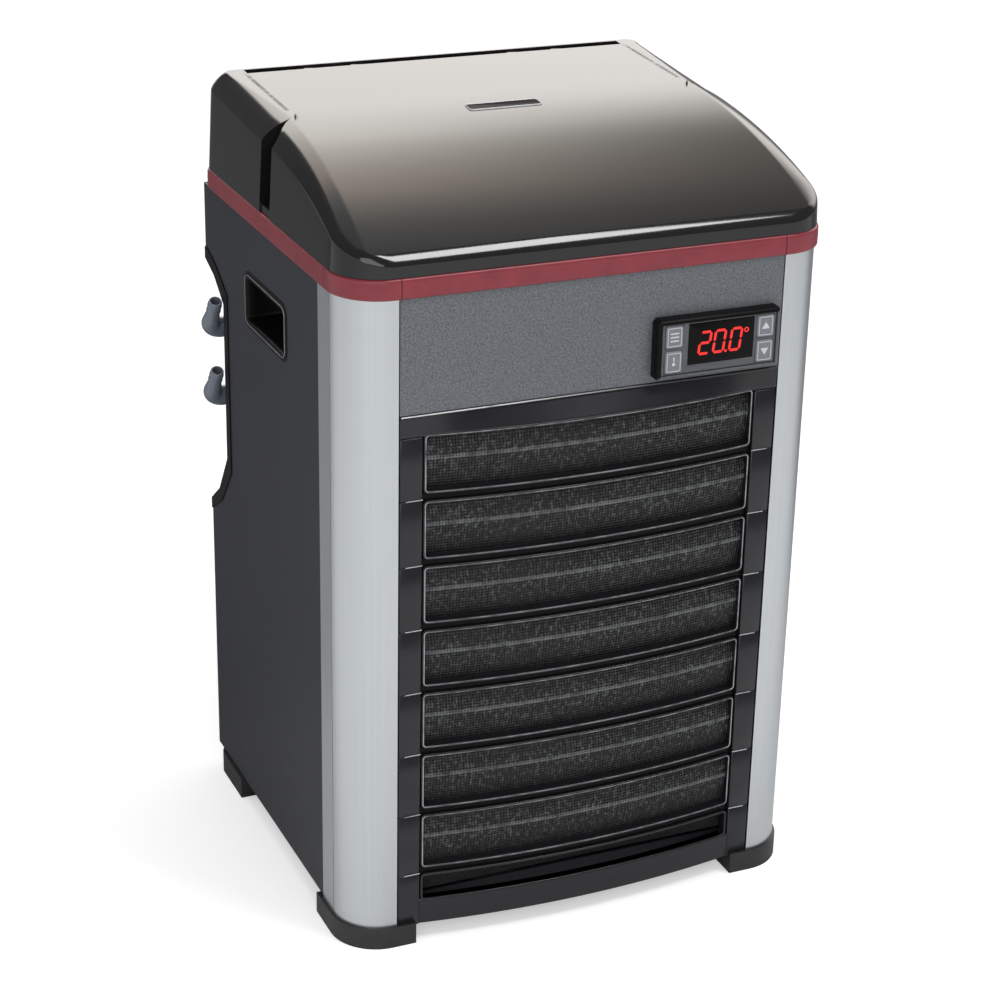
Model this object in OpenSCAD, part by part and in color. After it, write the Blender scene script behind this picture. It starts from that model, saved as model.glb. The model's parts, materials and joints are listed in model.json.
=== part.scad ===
// Cabinet aquarium chiller: a refrigerated water cooler with a front air intake and a hinged top lid.
// X runs left to right, Y front to back, Z up, and the feet stand on Z = 0.

/* [Cabinet] */
// Width over the side panels
cab_w = 325; // [310:5:380]
// Depth from the front of the corner posts to the rear panel
cab_d = 278; // [270:2:330]
// Height of the corner posts
post_h = 430; // [420:5:480]
// Thickness of the sheet metal panels
sheet_t = 1.2; // [0.8:0.1:1.6]
// Plan radius of the front corners
corner_r = 30; // [24:1:32]
// Plan radius of the rear corners
rear_r = 18; // [12:1:24]

/* [Corner posts] */
// Width of a post seen from the front
post_w = 33; // [30:1:38]
// Depth of a post seen from the side
post_d = 50; // [44:1:60]
// Wall of the extruded post
post_t = 2.4; // [1.8:0.1:3]
// Width of the flange that carries the front parts
flange_w = 8; // [5:0.5:9]

/* [Feet] */
// Height of the feet
foot_h = 15; // [12:0.5:20]
// How far the feet and the trim band stand out from the panels
proud = 2; // [1:0.25:3]
// Width of a foot along the front
foot_w = 46; // [40:1:56]
// Length of a foot along the side
foot_d = 58; // [50:1:70]

/* [Trim band] */
// Height of the trim band
band_h = 13; // [10:0.5:16]
// Thickness of the trim band
band_t = 8; // [6:0.5:10]
// Chamfer along the top edge of the band
band_bevel = 1.5; // [0.5:0.25:2]

/* [Hood] */
// Wall of the hood and lid mouldings
hood_t = 3; // [2:0.25:4]
// Rise of the flat top above the band at the hinge end
hood_h = 65; // [56:1:80]
// Slope of the flat top towards the front
top_slope = 3; // [1:0.5:5]
// Radius of the curved front slope
slope_r = 400; // [340:10:460]
// Distance from the front at which the curve starts
slope_start = 169; // [150:1:180]
// Radius of the front lip of the lid
lip_r = 8; // [5:0.5:10]
// Radius of the shoulders
shoulder_r = 24; // [16:1:28]
// Inward lean of the hood sides from bottom to top
lean = 3.5; // [1:0.5:5]
// Distance of the grip slots from the front
slot_y = 147; // [130:1:160]
// Width of the grip slots
slot_w = 20; // [16:1:26]
// Distance of the lid's side joint from the hood side
joint_x = 27; // [26:0.5:36]
// Opening angle of the lid
lid_open = 70; // [40:5:75]

/* [Front grille] */
// Height of the front panel above the grille
panel_h = 73.6; // [68:0.2:90]
// Height of the top rail of the grille
rail_h = 15; // [12:0.5:20]
// Number of windows
window_n = 7; // [5:1:8]
// Height of the bar between two windows
bar_h = 8; // [6:0.5:10]
// Height of the low slot above the kick plate
low_slot_h = 17; // [12:0.5:22]
// Height of the kick plate
kick_h = 18.5; // [14:0.5:24]
// Width of the upright stiles
stile_w = 15; // [12:0.5:20]
// How far the bars bow out at the middle
bow = 9; // [4:0.5:12]
// Depth of the grille frame
grille_d = 12; // [10:0.5:14]

/* [Handles] */
// Length of the handle recess
grip_w = 73; // [60:1:90]
// Height of the handle recess
grip_h = 28; // [24:1:34]
// Depth of the handle recess
grip_d = 24; // [18:1:26]
// Distance from the front to the middle of the recess
grip_y = 150; // [140:1:160]
// Distance from the top of the posts down to the recess
grip_drop = 40; // [30:1:50]

/* [Hose connections] */
// Height of the pocket at the rear edge
pocket_h = 178; // [165:1:190]
// Distance from the top of the posts down to the pocket
pocket_drop = 53; // [40:1:56]
// Depth of the pocket from the rear
pocket_y = 39.5; // [36:0.5:42]
// Depth of the pocket from the side
pocket_x = 42; // [38:0.5:50]
// Distance between the two hose connections
port_pitch = 50; // [46:0.5:54]
// Radius of an elbow arm
arm_r = 7.25; // [7.25:0.25:9.5]
// How far an elbow stands out past the side panel
arm_out = 10; // [6:0.5:11]
// Radius of the water bore
water_r = 5.5; // [4:0.25:6]
// Length of a hose tail
tail_len = 30; // [26:1:31]
// Radius of the bore of a hose tail
tail_bore = 3; // [2.5:0.25:3.5]
// Lean of the hose tails towards the front
tail_lean = 34; // [5:1:35]

/* [Thermostat] */
// Width of the thermostat bezel
ctl_w = 84; // [78:1:88]
// Height of the thermostat bezel
ctl_h = 37; // [34:0.5:38]
// How far the bezel stands out
ctl_proud = 7; // [4:0.5:8.5]
// Travel of a key
key_travel = 0.8; // [0.4:0.1:1.2]

/* [Cooling unit] */
// Height of the condenser block
cond_h = 306; // [280:2:320]
// Depth of the condenser block
cond_d = 34; // [26:1:36]
// Number of condenser fins
fin_n = 28; // [16:1:32]
// Tip radius of the fan
fan_r = 90; // [76:1:92]
// Number of fan blades
blade_n = 7; // [5:1:9]
// Radius of the compressor
comp_r = 54; // [46:1:56]
// Height of the compressor shell
comp_h = 150; // [130:1:170]
// Radius of the water tank
tank_r = 50; // [44:1:52]
// Wall of the water tank
tank_t = 4; // [3:0.5:5]

/* [Hidden] */
$fn = 64;
fine_steps = 256;
rib_steps = 24;
// Overrun of every cut
over = 1;
// Small clearance between neighbouring pieces
gap = 0.3;
// Radial clearance of a running fit
run = 0.05;
// Places on the cabinet
half_w = cab_w/2;
front_y = -(cab_d + bow + proud)/2 + bow;
back_y = front_y + cab_d;
post_top = foot_h + post_h;
band_top = post_top + band_h;
// Base pan
pan_t = 1.5;
pan_lip = 22;
pan_top = foot_h + pan_t;
pan_front = 16;
// Side and rear panels
panel_lift = 2;
panel_z = foot_h + panel_lift;
rear_flange = 14;
// Crease along each post
crease_w = 1;
crease_d = 0.5;
// Trim corners
trim_corner_w = 36;
trim_gap = 0.3;
// Hood
plan_step = 1;
rear_fillet = 12;
joint_gap = 1;
groove_y = 12.5;
groove_w = 8.4;
hinge_pin_r = 1.6;
hinge_barrel_r = 3.6;
hinge_y = back_y - groove_y - groove_w/2;
hinge_sink = 1.2;
slope_sweep = 40;
hinge_len = 22;
hinge_space = 74;
bite = 0.15;
sill_h = 5;
lid_lift = 0.3;
badge_w = 51;
badge_d = 11;
badge_t = 0.8;
badge_y = 148;
// Grille
grille_top = post_top - panel_h - gap;
grille_lap = 2.5;
grille_z = foot_h - grille_lap;
window_h = (grille_top - grille_z - rail_h - low_slot_h - kick_h - window_n*bar_h)/window_n;
window_pitch = window_h + bar_h;
front_gap = 0.8;
grille_half = half_w - post_w - front_gap;
bow_half = grille_half - stile_w;
bow_back = 0.4;
bow_spare = 2;
bow_sag = bow + bow_back;
bow_r = (bow_half*bow_half + bow_sag*bow_sag)/(2*bow_sag);
bow_y = front_y - bow + bow_r;
bar_d = 7;
bar_lip = 1.8;
bar_groove = 2.2;
mesh_t = 1;
mesh_ridge_share = 0.3;
mesh_inset = 3;
mesh_fall = 3.5;
mesh_side = 4;
mat_t = 6;
// Handles and pocket
cup_t = 2;
cup_lip = 4;
cup_lip_t = 1;
cup_fit = 0.2;
pocket_t = 2.2;
rim_w = 6;
rim_t = 0.8;
pocket_top = post_top - pocket_drop;
pocket_low = pocket_top - pocket_h;
slope_top_share = 0.12;
slope_low_share = 0.25;
// Hose connections
port_back = 12;
port_drop = 97;
port_y = back_y - port_back;
port_z = pocket_top - port_drop;
port_wall_x = -half_w + pocket_x;
bend_x = -half_w + arm_r - arm_out;
nut_r = 12.5;
nut_len = 10;
nut_ribs = 12;
rib_r = 1.6;
rib_sink = 0.6;
stub_r = 10;
stub_out = 12;
stub_in = 12;
hex_r = 12;
hex_len = 5;
spigot_r = 7;
tail_r = 4.4;
barb_r = 5;
bend_extra = 0.4;
barb_n = 3;
barb_len = 5;
// Thermostat
ctl_right = 39;
ctl_x = half_w - ctl_right - ctl_w;
ctl_drop = 32.5;
ctl_z = post_top - ctl_drop - ctl_h;
ctl_rim = 2.5;
cut_w = 71;
cut_h = 29;
case_d = 50;
case_rim = 2;
key_w = 12;
key_h = 14.5;
key_fit = 0.25;
key_rise = 0.6;
key_depth = 4;
key_left_x = 4.5;
key_right_x = 68.5;
key_low_z = 3;
key_step = 16.5;
glass_x = 20.5;
glass_z = 7;
glass_w = 46;
glass_h = 27;
glass_t = 2;
face_t = 3;
// Cooling unit
cond_in = 24;
cond_side = 45;
cond_up = 24;
cond_y = front_y + cond_in;
cond_half = half_w - cond_side;
cond_z = pan_top + cond_up;
fin_t = 0.6;
tube_r = 4.5;
tube_n = 10;
tube_over = 3;
plate_t = 1.5;
shroud_y = cond_y + cond_d + gap;
shroud_t = 1.2;
shroud_d = 22;
fan_fit = 4;
fan_z = cond_z + cond_h/2;
fan_shift = 2;
fan_y = shroud_y + shroud_d/2 + fan_shift;
hub_r = 24;
hub_d = 16;
blade_t = 1.6;
blade_w = 42;
blade_pitch = 24;
shaft_r = 3;
motor_r = 38;
motor_d = 42;
motor_gap = 6;
motor_y = shroud_y + shroud_d + motor_gap;
shaft_in = 24;
arm_w = 14;
arm_t = 2;
comp_in = 78;
comp_back = 78;
mount_h = 14;
comp_x = half_w - comp_in;
comp_y = back_y - comp_back;
comp_z = pan_top + mount_h;
comp_dome_share = 0.3;
plate_w = 128;
plate_d = 92;
plate_h = 3;
seam_h = 4;
seam_t = 2;
mount_r = 10;
mount_in = 12;
stud_r = 3;
tank_side = 22;
tank_rear = 38;
tank_drop = 40;
neck_step = 6;
tank_x = -half_w + pocket_x + tank_side + tank_r;
tank_y = back_y - tank_rear - tank_r;
tank_top = post_top - tank_drop;
neck_r = tank_r - neck_step;
neck_h = 26;
cap_h = 44;
cap_skirt = 22;
cap_fit = 0.3;
cap_ribs = 16;
cap_dish = 6;
cap_wall = 3;
cap_bar = 10;
coil_r = 33;
coil_tube = 4.5;
coil_turns = 8;
coil_steps = 16;
coil_sides = 6;
pipe_r = 8;
line_r = 3.2;
line_out = 16;
drier_up = 30;
drier_r = 9;
drier_len = 90;
box_gap = 3;
box_y = 96;
box_w = 38;
box_d = 46;
box_h = 70;
inlet_w = 28;
inlet_h = 22;
inlet_d = 26;
inlet_lip = 3;
inlet_in = 60;
inlet_up = 44;
inlet_x = -half_w + inlet_in;
inlet_z = pan_top + inlet_up;
vent_w = 42;
vent_h = 5;
vent_rows = 13;
vent_cols = 4;
inlet_pin_step = 7;
inlet_pin_drop = 2.5;
inlet_pin_w = 2;
inlet_pin_h = 4;
screw_in = 24;
screw_r = 3.4;
screw_t = 1.6;

// A box from its lowest corner to its highest
module span(low, high) {
    translate(low) cube([high[0] - low[0], high[1] - low[1], high[2] - low[2]]);
}

// A rod along X, Y or Z from a point
module rod_x(at, len, r) {
    translate(at) rotate([0, 90, 0]) cylinder(h = len, r = r);
}
module rod_y(at, len, r) {
    translate(at) rotate([-90, 0, 0]) cylinder(h = len, r = r);
}

// Straight runs of round pipe joined by ball corners
module pipe_run(points, r) {
    for (i = [0 : len(points) - 2]) {
        leg = points[i + 1] - points[i];
        turn = acos(leg[2]/norm(leg));
        translate(points[i]) rotate([0, turn, atan2(leg[1], leg[0])]) cylinder(h = norm(leg), r = r);
    }
    for (i = [1 : 1 : len(points) - 2]) translate(points[i]) sphere(r = r);
}

// Plan of the cabinet, grown outwards by a distance
module plan(grow) {
    x = half_w + grow;
    y0 = front_y - grow;
    y1 = back_y + grow;
    rf = corner_r + grow;
    rr = rear_r + grow;
    polygon([
        [-x + rf, y0], [x - rf, y0], [x, y0 + rf], [x, y1 - rr],
        [x - rr, y1], [-x + rr, y1], [-x, y1 - rr], [-x, y0 + rf]
    ]);
    for (s = [-1, 1]) {
        translate([s*(x - rf), y0 + rf]) circle(r = rf);
        translate([s*(x - rr), y1 - rr]) circle(r = rr);
    }
}

module plan_slab(grow, z, h) {
    translate([0, 0, z]) linear_extrude(height = h) plan(grow);
}

module base_pan() {
    inner_x = half_w - sheet_t - gap;
    narrow_x = half_w - post_t - 2*gap;
    rear = back_y - sheet_t - gap;
    side_y = front_y + post_d + gap;
    color("lightgray") {
        intersection() {
            plan_slab(-post_t - 2*gap, foot_h, pan_t);
            span([-narrow_x, front_y + pan_front, foot_h], [narrow_x, side_y, pan_top]);
        }
        span([-inner_x, side_y, foot_h], [inner_x, rear, pan_top]);
        for (s = [-1, 1]) {
            x = s*(inner_x - pan_t/2);
            span([x - pan_t/2, side_y, foot_h], [x + pan_t/2, rear, foot_h + pan_lip]);
        }
        span([-inner_x, rear - pan_t, foot_h], [inner_x, rear, foot_h + pan_lip]);
        span([-grille_half, front_y + pan_front, foot_h], [grille_half, front_y + pan_front + pan_t, foot_h + pan_lip/2]);
    }
}

// A corner block under the cabinet, for the side and the end given by signs
module foot(side, end) {
    len_x = foot_w + proud;
    len_y = foot_d + proud;
    x = side < 0 ? -half_w - proud : half_w + proud - len_x;
    y = end < 0 ? front_y - proud : back_y + proud - len_y;
    color("dimgray") intersection() {
        plan_slab(proud, 0, foot_h);
        span([x, y, 0], [x + len_x, y + len_y, foot_h]);
    }
}

// An extruded corner post with a rounded outer face and a flange for the front parts
module post(side) {
    z = foot_h;
    inner = half_w - post_w;
    flange_y = front_y + grille_d;
    color("silver") difference() {
        union() {
            intersection() {
                difference() {
                    plan_slab(0, z, post_h);
                    plan_slab(-post_t, z - over, post_h + 2*over);
                }
                mirror([side > 0 ? 1 : 0, 0, 0])
                    span([-half_w, front_y, z], [-inner, front_y + post_d, post_top]);
            }
            mirror([side > 0 ? 1 : 0, 0, 0]) {
                span([-inner - post_t, front_y + post_t/2, z], [-inner, flange_y + post_t, post_top]);
                span([-inner - post_t, flange_y, z], [-inner + flange_w, flange_y + post_t, post_top]);
            }
        }
        mirror([side > 0 ? 1 : 0, 0, 0]) {
            span(
                [-half_w - over, front_y + corner_r - crease_w, z - over],
                [-half_w + crease_d, front_y + corner_r, post_top + over]
            );
        }
    }
}

// Outline of the rear pocket in the side view, grown by a distance
module pocket_outline(grow) {
    y0 = back_y - pocket_y - grow;
    y1 = back_y + 3*over;
    top = pocket_top + grow;
    low = pocket_low - grow;
    top_fall = slope_top_share*pocket_h;
    low_rise = slope_low_share*pocket_h;
    mid = (y0 + back_y)/2;
    polygon([
        [y1, top], [back_y - grow/2, top], [mid, top - top_fall/3], [y0, top - top_fall],
        [y0, low + low_rise], [mid, low + low_rise/3], [back_y, low], [y1, low]
    ]);
}

// The pocket outline carried along X
module pocket_block(grow, x, len) {
    translate([x, 0, 0]) rotate([90, 0, 90]) linear_extrude(height = len) pocket_outline(grow);
}

module grip_block(grow, x, len) {
    z = post_top - grip_drop - grip_h;
    y = front_y + grip_y - grip_w/2;
    span([x, y - grow, z - grow], [x + len, y + grip_w + grow, z + grip_h + grow]);
}

module side_panel(side) {
    flip = side > 0 ? 1 : 0;
    y0 = front_y + post_d + gap;
    color("darkslategray") difference() {
        mirror([flip, 0, 0]) {
            span([-half_w, y0, panel_z], [-half_w + sheet_t, back_y, post_top]);
            span([-half_w, back_y - sheet_t, panel_z], [-half_w + rear_flange, back_y, post_top]);
        }
        mirror([flip, 0, 0]) grip_block(cup_t + cup_fit, -half_w - over, sheet_t + 2*over);
        if (side < 0) pocket_block(pocket_t + cup_fit, -half_w - over, rear_flange + 2*over);
    }
}

module rear_panel() {
    x = half_w - rear_flange - gap;
    vent_x = (2*cond_half)/(vent_cols + 1);
    color("darkslategray") difference() {
        span([-x, back_y - sheet_t, panel_z], [x, back_y, post_top]);
        pocket_block(pocket_t + cup_fit, -half_w, pocket_x + pocket_t + cup_fit);
        for (i = [0 : vent_cols - 1], j = [0 : vent_rows - 1]) {
            cx = (i - (vent_cols - 1)/2)*vent_x + pocket_x/2;
            cz = fan_z + (j - (vent_rows - 1)/2)*2*vent_h + motor_r;
            span([cx - vent_w/2, back_y - sheet_t - over, cz - vent_h/2], [cx + vent_w/2, back_y + over, cz + vent_h/2]);
        }
        span(
            [inlet_x - inlet_w/2 - cup_fit, back_y - sheet_t - over, inlet_z - inlet_h/2 - cup_fit],
            [inlet_x + inlet_w/2 + cup_fit, back_y + over, inlet_z + inlet_h/2 + cup_fit]
        );
    }
}

module front_panel() {
    z = post_top - panel_h;
    cx = ctl_x + (ctl_w - cut_w)/2;
    cz = ctl_z + (ctl_h - cut_h)/2;
    color("slategray") difference() {
        union() {
            span([-grille_half, front_y, z], [grille_half, front_y + sheet_t, post_top]);
            for (s = [-1, 1]) {
                x = s*(grille_half - sheet_t/2);
                span([x - sheet_t/2, front_y, z], [x + sheet_t/2, front_y + grille_d, post_top]);
            }
            span([-grille_half, front_y, z], [grille_half, front_y + grille_d, z + sheet_t]);
        }
        span([cx, front_y - over, cz], [cx + cut_w, front_y + sheet_t + over, cz + cut_h]);
    }
}

module service_deck() {
    x = half_w - post_t - 2*gap;
    color("lightgray") difference() {
        intersection() {
            span([-x, front_y + grille_d + post_t + 2*gap, post_top - sheet_t], [x, back_y - sheet_t - gap, post_top]);
            union() {
                plan_slab(-post_t - 2*gap, post_top - sheet_t, sheet_t);
                span([-x, front_y + post_d, post_top - sheet_t], [x, back_y, post_top]);
            }
        }
        translate([tank_x, tank_y, post_top - sheet_t - over]) cylinder(h = sheet_t + 2*over, r = tank_r + 2*over);
    }
}

// The whole trim band before it is cut into strips and corners
module band() {
    difference() {
        union() {
            plan_slab(proud, post_top, band_h - band_bevel);
            plan_slab(proud - band_bevel, post_top, band_h);
        }
        plan_slab(proud - band_t, post_top - over, band_h + 2*over);
    }
}

module band_part(low, high) {
    color("brown") intersection() {
        band();
        span([low[0], low[1], post_top], [high[0], high[1], band_top]);
    }
}

band_x = half_w + proud - trim_corner_w;
band_y0 = front_y - proud;
band_y1 = back_y + proud;

module trim_front() {
    band_part([-band_x, band_y0], [band_x, band_y0 + trim_corner_w]);
}
module trim_rear() {
    band_part([-band_x, band_y1 - trim_corner_w], [band_x, band_y1]);
}
module trim_side(side) {
    mirror([side > 0 ? 1 : 0, 0, 0])
        band_part([-half_w - proud, band_y0 + trim_corner_w], [-band_x, band_y1 - trim_corner_w]);
}
module trim_corner(side, end) {
    y0 = end < 0 ? band_y0 : band_y1 - trim_corner_w + trim_gap;
    mirror([side > 0 ? 1 : 0, 0, 0])
        band_part([-half_w - proud, y0], [-band_x - trim_gap, y0 + trim_corner_w - trim_gap]);
}

// Centre of the curved front slope in the side view
top_z = band_top + hood_h;
slope_y = front_y + slope_start;
start_z = top_z - (back_y - slope_y)*tan(top_slope);
arc_y = slope_y + slope_r*sin(top_slope);
arc_z = start_z - slope_r*cos(top_slope);

// Side outline of the hood, shrunk by a wall: open above, where the cross outline takes over
module hood_side(wall) {
    lip = lip_r - wall/2;
    rf = rear_fillet - wall/2;
    y0 = front_y + plan_step + wall - proud;
    y1 = back_y - plan_step - wall + proud;
    reach = slope_r - wall - lip + bite;
    lip_y = y0 + lip - bite;
    lip_at = [lip_y, arc_z + sqrt(pow(reach, 2) - pow(lip_y - arc_y, 2))];
    rear_y = y1 - rf + bite;
    rear_at = [rear_y, top_at(rear_y) - (wall + rf - bite)/cos(top_slope)];
    translate(lip_at) circle(r = lip);
    translate(rear_at) circle(r = rf);
    polygon([
        [y0 - lip_r, post_top], [y0 - lip_r, lip_at[1]], lip_at,
        lip_at + (lip_at - [arc_y, arc_z])*(4*lip_r/reach),
        rear_at + 4*lip_r*[-sin(top_slope), cos(top_slope)],
        rear_at, [y1 + lip_r, rear_at[1]], [y1 + lip_r, post_top]
    ]);
}

// Cross outline of the hood: height over the curve's centre along X, width along Y
module hood_arch(wall) {
    top = slope_r - wall;
    deep = slope_r - hood_h - band_h - lip_r;
    r = shoulder_r - wall;
    w_turn = half_w + proud - plan_step - bite - lean*(hood_h - shoulder_r)/hood_h - wall;
    w_low = w_turn + lean*(top - r - deep)/hood_h;
    polygon([
        [deep, -w_low], [top - r, -w_turn], [top - r, r - w_turn], [top, r - w_turn],
        [top, w_turn - r], [top - r, w_turn - r], [top - r, w_turn], [deep, w_low]
    ]);
    for (s = [-1, 1]) translate([top - r, s*(w_turn - r)]) circle(r = r);
}

// The full hood volume, shrunk by a wall: plan, side outline and cross outline meet here
module hood_volume(wall) {
    low = wall > 0 ? over : 0;
    intersection() {
        plan_slab(proud - plan_step - wall, band_top - low, hood_h + 2*lip_r);
        translate([-half_w - 2*proud, 0, 0]) rotate([90, 0, 90])
            linear_extrude(height = cab_w + 4*proud) hood_side(wall);
        translate([0, arc_y, arc_z]) rotate([90 + top_slope, 0, 0]) rotate([90, 0, 90]) {
            rotate_extrude(angle = slope_sweep, $fn = fine_steps) hood_arch(wall);
            rotate([90, 0, 0]) linear_extrude(height = cab_d) hood_arch(wall);
        }
    }
}

// Height of the flat top at a place along Y
function top_at(y) = start_z + (y - slope_y)*tan(top_slope);

joint_half = half_w + proud - plan_step - joint_x;
slot_front = front_y + slot_y - slot_w/2;
slot_rear = slot_front + slot_w;
lid_rear = back_y - groove_y - groove_w;
strip_front = back_y - groove_y;
hinge_z = top_at(hinge_y) - hinge_sink - hinge_barrel_r;

// A hinge barrel on a tongue that reaches to a place along Y
module knuckle(x, len, reach_y) {
    rod_x([x, hinge_y, hinge_z], len, hinge_barrel_r);
    span([x, min(reach_y, hinge_y), hinge_z], [x + len, max(reach_y, hinge_y), hinge_z + hinge_barrel_r]);
}

module lid_hinge_pin() {
    color("silver") for (s = [-1, 1])
        rod_x([s*hinge_space - hinge_len, hinge_y, hinge_z], 2*hinge_len, hinge_pin_r);
}

module pin_bores() {
    for (s = [-1, 1])
        rod_x([s*hinge_space - hinge_len - gap, hinge_y, hinge_z], 2*(hinge_len + gap), hinge_pin_r + run);
}

module hood_rear() {
    top = top_z + 2*lip_r;
    side_x = half_w + 2*proud;
    color("black") difference() {
        union() {
            difference() {
                intersection() {
                    hood_volume(0);
                    union() {
                        span([-side_x, strip_front, post_top], [side_x, back_y + 2*proud, top]);
                        for (s = [0, 1]) mirror([s, 0, 0])
                            span([joint_half + joint_gap/2, slot_rear, post_top], [side_x, strip_front + over, top]);
                    }
                }
                difference() {
                    hood_volume(hood_t);
                    for (s = [0, 1]) mirror([s, 0, 0])
                        span([joint_half + joint_gap/2, slot_rear - over, post_top], [side_x, slot_rear + hood_t/2, top]);
                }
            }
            for (s = [0, 1]) mirror([s, 0, 0])
                span([half_w - hood_t - sill_h, slot_front + gap, band_top], [half_w, slot_rear + over, band_top + sill_h]);
            for (s = [-1, 1], e = [-1, 1])
                knuckle(s*hinge_space + e*(hinge_len*3/4 + gap/2) - hinge_len/4 + gap/2, hinge_len/2 - gap, strip_front + over);
        }
        pin_bores();
    }
}

module lid() {
    top = top_z + 2*lip_r;
    low = band_top + lid_lift;
    side_x = half_w + 2*proud;
    color("black") difference() {
        union() {
            difference() {
                intersection() {
                    hood_volume(0);
                    union() {
                        span([-side_x, front_y - 2*proud, low], [side_x, slot_front, top]);
                        span([-joint_half + joint_gap/2, slot_front - over, low], [joint_half - joint_gap/2, lid_rear, top]);
                    }
                }
                hood_volume(hood_t);
            }
            for (s = [-1, 1]) knuckle(s*hinge_space - hinge_len/2, hinge_len, lid_rear - over);
        }
        pin_bores();
    }
}

// A thin plate that follows the curve of the lid
module lid_badge() {
    y = front_y + badge_y;
    color("dimgray") intersection() {
        difference() {
            hood_volume(-badge_t);
            hood_volume(0);
        }
        span([-badge_w/2, y - badge_d/2, band_top], [badge_w/2, y + badge_d/2, top_z + lip_r]);
    }
}

// A bar that bows out in plan, from its section of distance in from the bow and height
module bowed(section, half) {
    sweep = 2*asin(half/(bow_r - 2*bow)) + bow_spare;
    intersection() {
        translate([0, bow_y, 0]) rotate([0, 0, -90 - sweep/2])
            rotate_extrude(angle = sweep, $fn = fine_steps) polygon([for (p = section) [bow_r - p[0], p[1]]]);
        span([-half, front_y - 2*bow, 0], [half, front_y + bow_r, post_top]);
    }
}

function window_z(i) = grille_z + kick_h + low_slot_h + bar_h + i*window_pitch;

module grille_frame() {
    rail_z = grille_top - rail_h;
    bar_half = bow_half + over;
    color("black") {
        for (s = [0, 1]) mirror([s, 0, 0])
            span([-grille_half, front_y, foot_h + gap], [-bow_half, front_y + grille_d, grille_top]);
        span([-bow_half - over, front_y, rail_z], [bow_half + over, front_y + grille_d, grille_top]);
        bowed([[bar_d, rail_z], [0, rail_z], [bow_sag, grille_top], [bow_sag + bar_d, grille_top]], bar_half);
        for (i = [0 : window_n - 1]) {
            z = window_z(i) - bar_h;
            bowed([
                [bar_d, z], [0, z], [0, z + bar_lip], [bar_groove, z + bar_lip],
                [bar_groove, z + bar_h - bar_lip], [0, z + bar_h - bar_lip], [0, z + bar_h], [bar_d, z + bar_h]
            ], bar_half);
        }
        bowed([[bar_d, grille_z], [0, grille_z], [0, grille_z + kick_h], [bar_d, grille_z + kick_h]], bar_half);
    }
}

module grille_mesh() {
    color("dimgray") for (i = [0 : window_n - 1]) {
        z0 = window_z(i);
        z1 = z0 + window_h;
        ridge = z1 - mesh_ridge_share*window_h;
        back = mesh_inset + mesh_fall;
        bowed([
            [back, z0], [mesh_inset, ridge], [back, z1],
            [back + mesh_t, z1], [mesh_inset + mesh_t, ridge], [back + mesh_t, z0]
        ], bow_half - mesh_side);
    }
}

module filter_mat() {
    y = front_y + grille_d;
    z = grille_z + kick_h + gap;
    color("darkgray") span([-bow_half, y, z], [bow_half, y + mat_t, grille_top - rail_h/2]);
}

module handle_cup(side) {
    color("black") mirror([side > 0 ? 1 : 0, 0, 0]) difference() {
        union() {
            grip_block(cup_t, -half_w, grip_d + cup_t);
            grip_block(cup_t + cup_lip, -half_w - cup_lip_t, cup_lip_t);
        }
        grip_block(0, -half_w - 2*cup_lip_t, grip_d + 2*cup_lip_t);
    }
}

// Places of the two hose connections, lower first
function port(i) = [port_wall_x, port_y, port_z + i*port_pitch];

module connection_pocket() {
    color("black") difference() {
        intersection() {
            union() {
                pocket_block(pocket_t, -half_w, pocket_x + pocket_t);
                pocket_block(pocket_t + rim_w, -half_w - rim_t, rim_t);
            }
            span([-cab_w, front_y, 0], [cab_w, back_y, post_top]);
        }
        pocket_block(0, -half_w - 2*rim_t, pocket_x + 2*rim_t);
        for (i = [0, 1]) rod_x(port(i) - [over, 0, 0], pocket_t + 2*over, stub_r + run);
    }
}

module union_body(i) {
    color("gray") difference() {
        union() {
            rod_x(port(i) - [stub_out, 0, 0], stub_out + pocket_t + stub_in, stub_r);
            translate(port(i) + [pocket_t, 0, 0]) rotate([0, 90, 0]) cylinder(h = hex_len, r = hex_r, $fn = 6);
        }
        rod_x(port(i) - [stub_out + over, 0, 0], stub_out + pocket_t + stub_in + 2*over, water_r);
        rod_x(port(i) - [stub_out + over, 0, 0], stub_out, spigot_r + run);
    }
}

module union_nut(i) {
    color("gray") difference() {
        rod_x(port(i) - [nut_len, 0, 0], nut_len - gap, nut_r);
        rod_x(port(i) - [nut_len + over, 0, 0], nut_len + 2*over, stub_r + run);
        for (a = [0 : 360/nut_ribs : 359])
            translate(port(i) - [nut_len + over, 0, 0]) rotate([a, 0, 0]) translate([0, nut_r + rib_sink, 0])
                rotate([0, 90, 0]) cylinder(h = nut_len + 2*over, r = rib_r, $fn = rib_steps);
    }
}

module hose_elbow(i) {
    bend = [bend_x, port_y, port(i)[2]];
    arm_end = port_wall_x - stub_out - gap;
    color("lightslategray") difference() {
        union() {
            rod_x(bend, arm_end - bend_x, arm_r);
            rod_x(bend, port_wall_x - 2*over - bend_x, spigot_r);
            translate(bend) rotate([tail_lean, 0, 0]) {
                sphere(r = arm_r + bend_extra);
                cylinder(h = tail_len, r = tail_r);
                cylinder(h = tail_len - barb_n*barb_len - over, r1 = arm_r, r2 = barb_r);
                for (k = [1 : barb_n]) translate([0, 0, tail_len - k*barb_len])
                    cylinder(h = barb_len - over/2, r1 = barb_r, r2 = tail_r - over/2);
            }
        }
        rod_x(bend, pocket_x + pocket_t, water_r);
        translate(bend) rotate([tail_lean, 0, 0]) {
            sphere(r = water_r + bend_extra);
            cylinder(h = tail_len + over, r = tail_bore);
        }
    }
}

module sphere_at(at, r) {
    translate(at) sphere(r = r);
}

// Faces of the thermostat, from back to front
ctl_face = front_y - ctl_proud;
ctl_at = [ctl_x, ctl_face, ctl_z];

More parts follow.
